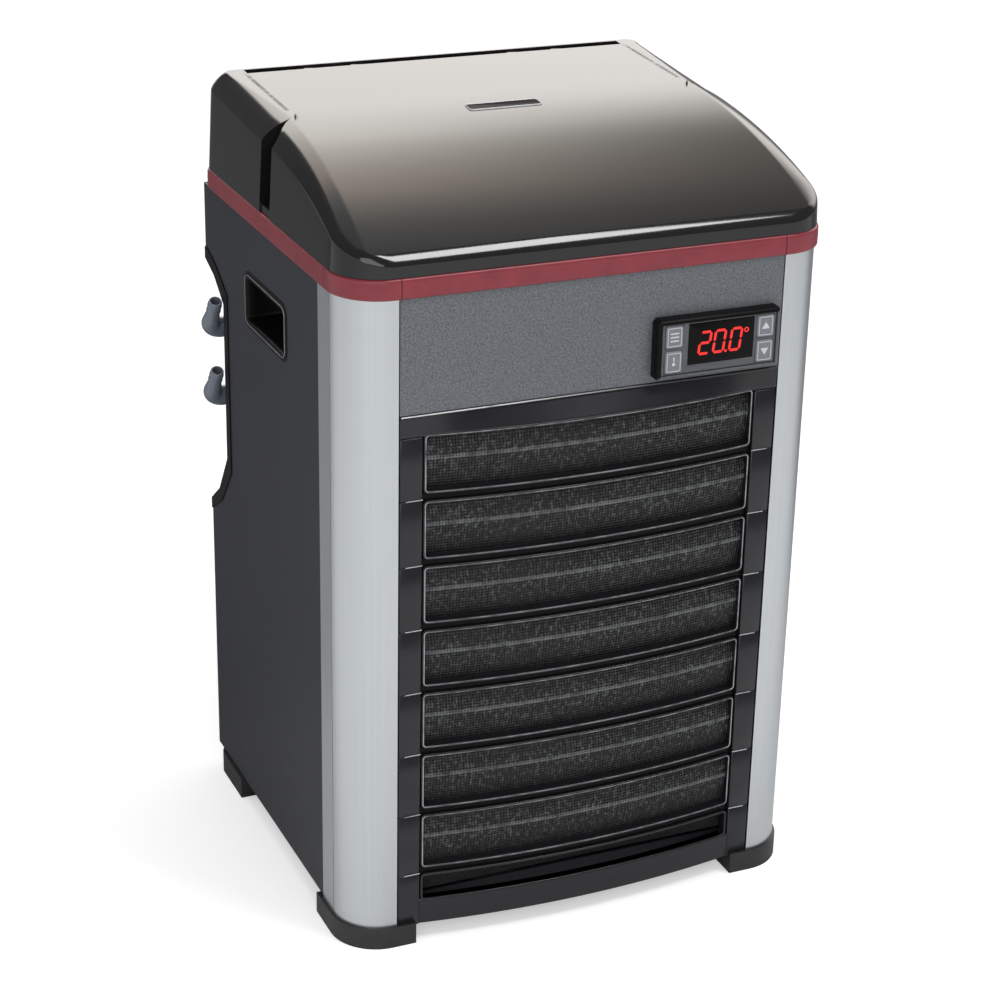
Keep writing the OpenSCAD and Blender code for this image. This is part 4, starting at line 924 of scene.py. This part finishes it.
# %% Make the rail
rail_end = np.array([GRILLE_HALF - 0.5, GRILLE_HALF])
rail_x = np.concatenate([-rail_end[::-1], np.linspace(-BOW_HALF - 1, BOW_HALF + 1, 71), rail_end])
lip = [(0.1, 12), (0, -0.2), (0.35, -0.75), (1.0, -0.95), (1.6, -0.7), (2.0, 0)]
face = [(z, 0.0) for z in np.linspace(GRILLE_TOP - 2.4, RAIL_Z + 1.2, 9)]
foot_edge = [(RAIL_Z + 0.4, 0.3), (RAIL_Z, 1.0), (RAIL_Z, 12)]
rail_z, rail_depth = np.array([(GRILLE_TOP - down, depth) for down, depth in lip] + face + foot_edge).T
share = np.clip((GRILLE_TOP - 2 - rail_z) / (RAIL_H - 2), 0, 1) * (rail_depth < 11)
bulge = np.where(np.abs(rail_x) > BOW_HALF, 0, bow_y(rail_x) - FRONT)
rail_y = FRONT + rail_depth + bulge[:, None] * share
rail = Shape().tube(np.stack([rail_x[:, None] + 0 * rail_y, rail_y, rail_z + 0 * rail_y], -1))
rail.make("grille_rail", [grille_black], "grille", slot="grille_plastic", sharp=50)
# A bead along the rail's top edge, with a painted highlight.
rail_bead = thin_line(Shape(), 0.6 - GRILLE_HALF, GRILLE_HALF - 0.6, FRONT - 0.8, GRILLE_TOP - 0.6, 0.42)
rail_bead.make("rail_bead", [rail_line], "grille", slot="grille_plastic")

# %% Make the stiles
stiles = Shape()
cuts = np.concatenate([[GRILLE_LOW], window_z - BAR_H / 2 - 1, [RAIL_Z]])
for sign in (-1, 1):
    x0, x1 = sorted((sign * GRILLE_HALF, sign * BOW_HALF))
    corners = [(x0, FRONT), (x1, FRONT), (x1, FRONT + 12), (x0, FRONT + 12)]
    outline = soft_polygon(corners, [0.9, 0.9, 0.2, 0.2])
    for z0, z1 in zip(cuts[:-1], cuts[1:]):
        length = [(-0.35, z0 + 0.15), (0, z0 + 0.5), (0, z1 - 0.5), (-0.35, z1 - 0.15)]
        stiles.tube(block(outline, length, upright))
stiles.make("grille_stiles", [grille_black], "grille", slot="grille_plastic", sharp=50)

# %% [markdown]
# ## The window meshes
# Each window holds a moulded mesh that bulges along a ridge. It is a plate of narrow strips with square holes,
# two millimetres apart. The strips' edges give the lines of one grid, and the faces at the holes are left out,
# which is far cheaper than cutting holes.


# %% Make the meshes
HOLE_PITCH, BAR = 2.0, 0.95


def strip_lines(start, end):
    """The edges of all strips from start to end: half a bar each side of every multiple of the pitch."""
    middle = np.linspace(start, end, int(round((end - start) / HOLE_PITCH)) + 1)
    return np.sort(np.concatenate([middle - BAR / 2, middle + BAR / 2]))[1:-1]


def window_mesh(top, ridge):
    """A plate whose depth behind the bow is 3 + 3.2 (1 - r)^1.4 mm, where r falls from 1 at the ridge to 0."""
    bottom = top - WINDOW_H - 2 * MESH_LAP
    x, z = strip_lines(-BOW_HALF, BOW_HALF), strip_lines(bottom, top)
    rise = np.where(z < ridge, (z - bottom) / (ridge - bottom), (top - z) / (top - ridge))
    depth = 3.0 + 3.2 * (1 - np.clip(rise, 0, 1)) ** 1.4
    u, v = np.meshgrid(x, z, indexing="ij")
    rows, cols = u.shape
    r, c = np.meshgrid(np.arange(rows - 1), np.arange(cols - 1), indexing="ij")
    first = (r * cols + c)[~((r % 2 == 1) & (c % 2 == 1))]
    quads = np.stack([first, first + cols, first + cols + 1, first + 1], -1)
    return Shape().add(on_bow(u, v, np.broadcast_to(depth, u.shape)), quads.tolist())


for i, (top, ridge) in enumerate(zip(mesh_top, ridge_z)):
    stands = ["grille_mesh"] if i == 0 else []
    piece = window_mesh(top, ridge)
    piece.make(f"window_mesh_{i + 1}", [mesh_black], "grille", stands, "mesh_plastic", wall=0.7)

# %% [markdown]
# ## The thermostat
# The controller sits in a shallow bezel. Its face is a grid of rectangles from which the openings for the
# four keys and the display are left out, and a rounded skirt runs from it back to the panel.

# %% Lay out the face
EDGE, KEY_GAP, GLASS_GAP = 1.8, 0.25, 0.15
ctl_low, ctl_high = span("thermostat_bezel")
glass_low, glass_high = span("display_window")
key_nodes = {"set_key": "key_set", "power_key": "key_power", "up_key": "key_up", "down_key": "key_down"}
key_boxes = {body: span(node) for body, node in key_nodes.items()}
holes = [(a[[0, 2]] - KEY_GAP, b[[0, 2]] + KEY_GAP) for a, b in key_boxes.values()]
holes.append((glass_low[[0, 2]] - GLASS_GAP, glass_high[[0, 2]] + GLASS_GAP))
inside_low, inside_high = ctl_low[[0, 2]] + EDGE, ctl_high[[0, 2]] - EDGE


def face_lines(axis):
    """All edges of the face and of its openings along one axis, in order."""
    edges = [inside_low[axis], inside_high[axis]] + [corner[axis] for hole in holes for corner in hole]
    return np.unique(np.round(edges, 3))


face_x, face_z = face_lines(0), face_lines(1)
print("face lines along X", face_x, "and along Z", face_z)

# %% [markdown]
# The skirt starts at the sharp corners of the face and fans out round each, so one profile serves its four
# sides: a quarter of a circle, then straight back to the panel. Above and at the left the skirt is black, as
# the shadow and the seal make it there, and below and at the right it is grey.

# %% Make the bezel
FACE_Y, FAN = ctl_low[1], 6
mid_x, mid_z = np.meshgrid((face_x[1:] + face_x[:-1]) / 2, (face_z[1:] + face_z[:-1]) / 2, indexing="ij")
in_hole = np.any([(mid_x > a[0]) & (mid_x < b[0]) & (mid_z > a[1]) & (mid_z < b[1]) for a, b in holes], 0)
fx, fz = np.meshgrid(face_x, face_z, indexing="ij")
first = (np.arange(len(face_x) - 1)[:, None] * len(face_z) + np.arange(len(face_z) - 1)[None])[~in_hole]
face_quads = np.stack([first, first + len(face_z), first + len(face_z) + 1, first + 1], -1)
bezel = Shape().add(np.stack([fx, 0 * fx + FACE_Y, fz], -1), face_quads.tolist())
skirt = rectangle(inside_low[0], inside_high[0], inside_low[1], inside_high[1], 0.01, FAN - 1)
swing = np.tile(np.linspace(0, np.pi / 2, FAN), 4)[:, None]
first_way = np.repeat([[-1, 0], [0, -1], [1, 0], [0, 1]], FAN, 0)
second_way = np.repeat([[0, -1], [1, 0], [0, 1], [-1, 0]], FAN, 0)
fan_side = first_way * np.cos(swing) + second_way * np.sin(swing)
t = np.linspace(0, np.pi / 2, 7)
quarter = np.stack([EDGE * np.sin(t), EDGE * (1 - np.cos(t))], 1)
skirt_profile = np.concatenate([quarter, [[EDGE, FRONT - FACE_Y]]])
flat = skirt[None] + fan_side[None] * skirt_profile[:, None, :1]
skirt_depth = np.broadcast_to(skirt_profile[:, None, 1], flat.shape[:2])
skirt_skin = facing(FACE_Y)(flat[..., 0], flat[..., 1], skirt_depth)
bezel.grid(skirt_skin[:, 2:15], flip=True)
bezel.grid(np.concatenate([skirt_skin[:, 14:], skirt_skin[:, :3]], 1), flip=True, finish=1)
bezel.make(
    "thermostat_bezel_shell", [bezel_grey, recess_black], "cabinet", ["thermostat_bezel"], "bezel_plastic",
    wall=1.4, sharp=50,
)

# %% [markdown]
# ## Keys and print
# Each key is a pillow with a fine light line near its edge and a plain sign: bars, a ring with a stroke, and
# two triangles. Print is a skin of a few hundredths of a millimetre, made from closed outlines.


# %% Print and lines
INK_BACK, INK_FRONT = 0.02, -0.05


def print_on(shape, outlines, y, finish=0):
    """Each outline as a thin closed skin that stands 0.05 mm out of the face at y."""
    for outline in outlines:
        u, v = np.array(outline, float).T[:, None].repeat(2, 1)
        shape.tube(facing(y)(u, v, np.array([[INK_BACK], [INK_FRONT]]) + 0 * u), finish)
    return shape


def frame_line(shape, outer, width, y, finish=0):
    """A closed line of this width just inside an outline, as a ring with a square section."""
    section = [(0, INK_BACK), (0, INK_FRONT), (-width, INK_FRONT), (-width, INK_BACK)]
    return shape.ring_grid(block(outer, section, facing(y)), finish)


def sign_of(body, x, z):
    """The outlines of a key's sign."""
    if body == "set_key":
        return [rectangle(x - 3, x + 3, z + d - 0.45, z + d + 0.45, 0.2, 1) for d in (-2.4, 0, 2.4)]
    if body == "power_key":
        return [around((x, z - 1.2), 1.1, 24), rectangle(x - 0.4, x + 0.4, z + 0.6, z + 3.4, 0.15, 1)]
    tip = 1 if body == "up_key" else -1
    corners = [(x - 2.8, z - 1.8 * tip), (x + 2.8, z - 1.8 * tip), (x, z + 2.6 * tip)]
    return [soft_polygon(corners[::tip], 0.5, 2)]


print("signs:", {body: len(sign_of(body, 0, 0)) for body in key_boxes})

# %% Make the keys
LINE_IN, LINE_W = 1.2, 0.45
for body, (a, b) in key_boxes.items():
    cap_y, (x, z) = a[1], (a[[0, 2]] + b[[0, 2]]) / 2
    pillow = [(0, b[1] - cap_y), (0, 0.5), (-0.2, 0.15), (-0.6, 0)]
    key = Shape().tube(block(rectangle(a[0], b[0], a[2], b[2], 1.2), pillow, facing(cap_y)))
    print_on(key, sign_of(body, x, z), cap_y, 1)
    line = rectangle(a[0] + LINE_IN, b[0] - LINE_IN, a[2] + LINE_IN, b[2] - LINE_IN, 0.8)
    frame_line(key, line, LINE_W, cap_y, 1)
    node = key_nodes[body]
    key.make(node + "_cap", [key_grey, print_light], body, [node], "key_plastic", sharp=40)

# %% [markdown]
# ## The display
# Behind a dark window the display shows a temperature in seven-segment digits. A segment is a bar with
# pointed ends, and a digit lights some of seven of them, leaning by a few degrees.

# %% Make the glass
glass_line = rectangle(glass_low[0], glass_high[0], glass_low[2], glass_high[2], 1.0)
glass_edge = [(0, 2), (0, 0.4), (-0.15, 0.1), (-0.5, 0)]
glass = Shape().tube(block(glass_line, glass_edge, facing(glass_low[1])))
glass.make("display_glass_plate", [window_dark], "cabinet", ["display_window"], "display_glass", sharp=40)

# %% Make the digits
DIGIT_W, DIGIT_H, BAR_W, TILT, STEP = 7.0, 14.0, 1.7, np.tan(np.radians(7)), 10.2
SEGMENTS = {
    "a": (0, 2, 1, 2), "b": (1, 1, 1, 2), "c": (1, 0, 1, 1), "d": (0, 0, 1, 0), "e": (0, 0, 0, 1),
    "f": (0, 1, 0, 2), "g": (0, 1, 1, 1),
}
LIT = {"2": "abged", "0": "abcdef"}


def segment(x, z, name):
    """A bar with pointed ends between two corners of the digit's lattice, leaning by TILT."""
    x0, z0, x1, z1 = SEGMENTS[name]
    start = np.array([x0 * DIGIT_W, z0 * DIGIT_H / 2])
    end = np.array([x1 * DIGIT_W, z1 * DIGIT_H / 2])
    way = (end - start) / np.linalg.norm(end - start)
    across = np.array([-way[1], way[0]]) * BAR_W / 2
    start, end = start + way * 0.25, end - way * 0.25
    near, far = start + way * BAR_W / 2, end - way * BAR_W / 2
    corners = np.array([start, near - across, far - across, end, far + across, near + across])
    return np.stack([x + corners[:, 0] + corners[:, 1] * TILT, z + corners[:, 1]], 1)


read_x, read_z = glass_low[0] + 7.2, glass_low[2] + (glass_high[2] - glass_low[2] - DIGIT_H) / 2
starts = read_x + np.array([0, STEP, 2 * STEP + 1.2])
digits = [segment(x, read_z, s) for x, digit in zip(starts, "200") for s in LIT[digit]]
dot = around((read_x + 19.2, read_z), 0.9, 16)
degree = around((read_x + 33.4, read_z + DIGIT_H - 1.7), 1.7, 16)
lit = print_on(Shape(), digits + [dot], glass_low[1])
frame_line(lit, degree, 0.8, glass_low[1])
lit.make("display_digits", [led_red], "cabinet", slot="display_glass")

# %% [markdown]
# ## Handle recesses
# The recess on each side is a moulded cup with a thin flange that lies on the panel. It is one closed skin:
# from the cup's floor up its drafted wall, over the flange, and down the outside to the outer floor. A ridge
# with a painted highlight runs round the flange.

# %% Make the recesses
FLANGE = 6.0
ridge_profile = [(2.6, -0.9), (2.75, -1.15), (3.0, -1.15), (3.15, -0.7)]
for sign, name in ((-1, "handle_cup_left"), (1, "handle_cup_right")):
    cup_low, cup_high = low(name), high(name)
    (y0, z0), (y1, z1) = cup_low[1:] + FLANGE, cup_high[1:] - FLANGE
    outline = rectangle(y0, y1, z0, z1, 3.0)
    depth = cup_high[0] - cup_low[0] - 1
    cup_profile = [
        (-2.4, 24), (-0.9, 22.5), (-0.3, 6), (-0.1, 1.2), (0.25, 0.0), (0.9, -0.7), (1.6, -1.0), (2.4, -1.0),
        (3.0, -0.75), (4.6, -0.75), (5.4, -0.6), (FLANGE, 0), (2, 0), (2, depth - 0.6), (1.4, depth),
    ]

    def sideways(u, v, depth):
        """u and v along Y and Z, depth into the cabinet from this side's panel."""
        return np.stack([sign * (HALF_W - depth), u, v], -1)

    cup = Shape().tube(block(outline, cup_profile, sideways))
    # The ridge round the flange takes the second finish, a painted highlight.
    cup.ring_grid(block(outline, ridge_profile, sideways), finish=1)
    cup.make(name + "_moulding", [recess_black, rim_line], "cabinet", [name], "recess_plastic", sharp=50)

# %% [markdown]
# ## Hose elbows and nuts
# In the pocket at the back sit two unions with ribbed nuts, and from each an elbow swings up to a barbed hose
# tail. An elbow is a circle carried along a straight arm, a quarter bend and the leaning tail, and back inside
# as the bore, which makes one closed skin.

# %% The elbow's curve
TAIL_LEAN, ARM_R, BORE_R, BEND_R, ARM_THIN = np.radians(34), 7.25, 3.0, 7.5, 7.1
tail_way, arm_way = np.array([0, -np.sin(TAIL_LEAN), np.cos(TAIL_LEAN)]), np.array([1.0, 0, 0])
plane_normal = np.cross(arm_way, tail_way)
bend_x = span("hose_elbow_upper")[0][0] + ARM_R + 0.4
tail_radii = np.array([
    (8.5, 6.1), (14.6, 5.15), (15.2, 5.0), (19.7, 4.4), (19.9, 5.0), (20.5, 5.0), (24.7, 4.4), (24.9, 5.0),
    (25.5, 5.0), (29.0, 4.5), (29.7, 4.15), (30, 3.7), (29.7, 3.15), (27, BORE_R),
])


def elbow(port, arm_end):
    """Centres, directions and radii along arm, bend and tail, then back along the bore."""
    corner = np.array([bend_x, port[1], port[2]])
    arm_radii = np.array([
        (arm_end, 6.6), (arm_end - 0.6, ARM_R), (arm_end - 4, ARM_R), (arm_end - 4.3, ARM_THIN),
        (corner[0] + BEND_R + 3, ARM_THIN),
    ])
    arm = np.stack([arm_radii[:, 0], 0 * arm_radii[:, 0] + corner[1], 0 * arm_radii[:, 0] + corner[2]], 1)
    turn = np.linspace(0, np.pi / 2, 13)[:, None]
    bend = corner + BEND_R * (arm_way * (1 - np.sin(turn)) + tail_way * (1 - np.cos(turn)))
    bend_way = -arm_way * np.cos(turn) + tail_way * np.sin(turn)
    tail = corner + tail_radii[:, :1] * tail_way
    centres = np.concatenate([arm, bend, tail, bend[::-1], arm[:1]])
    arm_ways, tail_ways = np.tile(-arm_way, (len(arm), 1)), np.tile(tail_way, (len(tail), 1))
    ways = np.concatenate([arm_ways, bend_way, tail_ways, bend_way[::-1], [-arm_way]])
    bend_radii = np.linspace(ARM_THIN, 6.25, 13)
    radii = np.concatenate([arm_radii[:, 1], bend_radii, tail_radii[:, 1], np.full(14, BORE_R)])
    a = np.radians(np.linspace(0, 360, 41)[:-1])[None, :, None]
    third = np.cross(ways, plane_normal)
    return centres[:, None] + radii[:, None, None] * (np.cos(a) * plane_normal + np.sin(a) * third[:, None])


print("the bend lies at", bend_x, "and the tail leans", np.degrees(TAIL_LEAN), "degrees")


# %% Make the elbows and the nuts
def ribbed_nut(x0, x1, port):
    """Rings along X of radius R - d max(0, cos 12 a)^2, with chamfered ends, closed through the bore."""
    a = np.radians(np.linspace(0, 360, 145)[:-1])
    groove = np.maximum(0, np.cos(12 * a)) ** 2
    rows = np.array([
        (x0, 11.2, 0), (x0 + 0.8, 12.4, 0.9), (x0 + 2.2, 12.5, 1), (x1 - 2.2, 12.5, 1), (x1 - 0.8, 12.4, 0.9),
        (x1, 11.6, 0), (x1, 10.2, 0), (x0, 10.2, 0),
    ])
    r = rows[:, 1, None] - rows[:, 2, None] * groove
    return np.stack([rows[:, :1] + 0 * r, port[1] + r * np.cos(a), port[2] + r * np.sin(a)], -1)


for level in ("upper", "lower"):
    elbow_node, nut_node = "hose_elbow_" + level, "union_nut_" + level
    nut_low, nut_high = span(nut_node)
    port, body = (nut_low + nut_high) / 2, "elbow_" + level
    bend_piece = Shape().ring_grid(elbow(port, span(elbow_node)[1][0] - 12.3))
    bend_piece.make(body + "_moulding", [fitting_grey], body, [elbow_node], "fitting_plastic", sharp=50)
    nut = Shape().ring_grid(ribbed_nut(nut_low[0], nut_high[0], port))
    nut.make(f"nut_{level}_moulding", [fitting_grey], "cabinet", [nut_node], "fitting_plastic", sharp=40)

# %% [markdown]
# ## Camera, floor and light
# The camera stands where the photograph was taken from, to the left of the object and above it, with a long
# lens. It was found by fitting the cabinet's corners to the picture. The object is in the middle of the
# picture, so the lens isn't shifted. The floor is white, and outside the object's soft shadow it melts into
# the white world.

# %% Camera
CAMERA_AT = np.array([CENTRE_X - 631.5, -1418.5, 906.4])
FORWARD = np.array([0.37301, 0.8407, -0.39255])
RIGHTWARD = np.array([0.91727, -0.39778, 0.01971])
LENS_PX, FRAME_PX, SENSOR = 2472.4, 1000, 36.0
camera = bpy.data.objects.new("camera", bpy.data.cameras.new("camera"))
bpy.context.scene.collection.objects.link(camera)
camera.data.sensor_width = SENSOR
camera.data.lens = LENS_PX / FRAME_PX * SENSOR
camera.data.clip_start, camera.data.clip_end = 0.05, 60
back = -FORWARD / np.linalg.norm(FORWARD)
right = RIGHTWARD - back * (RIGHTWARD @ back)
right /= np.linalg.norm(right)
turn = np.stack([right, np.cross(back, right), back], 1)
camera.matrix_world = Matrix.Translation(CAMERA_AT * MM) @ Matrix(turn.tolist()).to_4x4()
bpy.context.scene.camera = camera
print("camera", np.round(CAMERA_AT), "mm, lens", round(camera.data.lens, 1), "mm")

# %% [markdown]
# The floor is white to the camera. In mirrors it is darker behind the object, as a floor is that no lamp
# reaches, and it stays pale in front and at the left.

# %% Floor
REACH, FLOOR_PALE, FLOOR_DIM = 9.0, (0.8, 0.8, 0.8), (0.2, 0.2, 0.21, 1)
floor_mesh = bpy.data.meshes.new("floor")
corners = [(-REACH, -REACH, 0), (REACH, -REACH, 0), (REACH, REACH, 0), (-REACH, REACH, 0)]
floor_mesh.from_pydata(corners, [], [(0, 1, 2, 3)])
floor = bpy.data.objects.new("floor", floor_mesh)
bpy.context.scene.collection.objects.link(floor)
floor_white = Finish("floor_white", FLOOR_PALE, 0.9)
floor_white.set("Emission Color", (1, 1, 1, 1))
floor_x, floor_y = floor_white.along("X"), floor_white.along("Y")
behind = floor_y.between(-0.35, 0.35) * (floor_y + floor_x * 1.3).between(-0.45, -0.05)
in_mirrors = floor_white.node("LightPath", out="Is Glossy Ray") * behind
floor_white.set("Base Color", floor_white.mix(in_mirrors, (*FLOOR_PALE, 1), FLOOR_DIM))
floor_white.set("Emission Strength", floor_white.node("LightPath", out="Is Camera Ray") * 0.42)
floor_mesh.materials.append(floor_white.material)
print("floor", 2 * REACH, "m wide")

# %% [markdown]
# The black hood is a mirror for the studio behind it. In the photograph a large warm panel hangs there: it is
# brightest at some 35 degrees above the floor, fades upwards and to the right, and ends sharply to the left.
# Low at the right it is dark, which is what the hood's right shoulder shows. A dim wall stands at the left, and
# its lower part gives the left shoulder and the rounding of the post their light. The world shows all this to
# glossy rays only.

# %% World
PANEL_LIGHT, LEFT_LIGHT, DIM_LIGHT = 4.2, 0.9, 0.2
world = bpy.data.worlds.new("studio")
bpy.context.scene.world = world
world.use_nodes = True
sky = Net(world.node_tree)
seen_from = sky.node("TexCoord", out="Generated")
across, deep, upward = (sky.node("SeparateXYZ", {}, {"Vector": seen_from}, axis) for axis in "XYZ")
glow = sky.ramp(
    upward,
    (0.0, (0.5, 0.5, 0.5)), (0.33, (0.68, 0.65, 0.62)), (0.56, (1, 0.95, 0.88)), (0.68, (0.82, 0.75, 0.66)),
    (0.78, (0.66, 0.56, 0.48)), (0.85, (0.27, 0.25, 0.23)), (0.9, (0.12, 0.12, 0.12)),
    (1.0, (0.06, 0.06, 0.06)),
)
fade = 1 - across.between(0.3, 0.52) * upward.between(0.38, 0.68) * 0.8
low_right = 1 - across.between(0.38, 0.48) * upward.between(0.28, 0.1) * 0.93
panel = deep.between(0.05, 0.25) * across.between(-0.085, -0.055) * fade * low_right * PANEL_LIGHT
left_wall = across.between(-0.5, -0.62) * upward.between(0.5, 0.35) * LEFT_LIGHT + DIM_LIGHT
lit_panel = sky.node("VectorMath", {"operation": "SCALE"}, {0: glow, "Scale": panel})
studio = sky.node("VectorMath", {"operation": "ADD"}, {0: lit_panel, 1: left_wall})
in_mirror = sky.mix(sky.node("LightPath", out="Is Glossy Ray"), (0.62, 0.62, 0.63, 1), studio)
in_view = sky.mix(sky.node("LightPath", out="Is Camera Ray"), in_mirror, (1, 1, 1, 1))
world.node_tree.links.new(in_view.socket, world.node_tree.nodes["Background"].inputs["Color"])
print("the world has", len(world.node_tree.nodes), "nodes")

# %% [markdown]
# Three soft lamps do the rest: a key light from the front right and above, a broad weak light from the front
# left, and one overhead that mirrors don't show, because the photograph's hood doesn't.

# %% Lamps
AIM, HUB = (0, 0, 0.3), (0, 0, 0.45)  # in metres: what the lamps face, and what they stand round


def softbox(name, at, width, height, power):
    """A white area lamp at a place in metres, its face turned to AIM."""
    lamp = bpy.data.objects.new(name, bpy.data.lights.new(name, "AREA"))
    bpy.context.scene.collection.objects.link(lamp)
    lamp.data.shape, lamp.data.size, lamp.data.size_y = "RECTANGLE", width, height
    lamp.data.energy = power
    at = np.array(at, float)
    away = (at - AIM) / np.linalg.norm(at - AIM)
    across = np.cross([0, 0, 1], away)
    across /= np.linalg.norm(across)
    turned = np.stack([across, np.cross(away, across), away], 1)
    lamp.matrix_world = Matrix.Translation(at) @ Matrix(turned.tolist()).to_4x4()
    return lamp


def from_side(azimuth, height, distance):
    """A place at this distance from HUB, by its azimuth from the back round to the right and its height, in
    degrees."""
    a, h = np.radians(azimuth), np.radians(height)
    return HUB + distance * np.array([np.cos(h) * np.sin(a), np.cos(h) * np.cos(a), np.sin(h)])


softbox("key_light", from_side(142, 56, 2.4), 0.75, 0.6, 22)
softbox("front_light", from_side(205, 24, 3.2), 2.4, 1.6, 32)
softbox("top_light", (0.1, 0.3, 2.6), 1.4, 1.4, 10).visible_glossy = False

# %% [markdown]
# ## The end
# The last cell chooses the plain view transform.

# %% Finish
bpy.context.scene.view_settings.view_transform = "Standard"
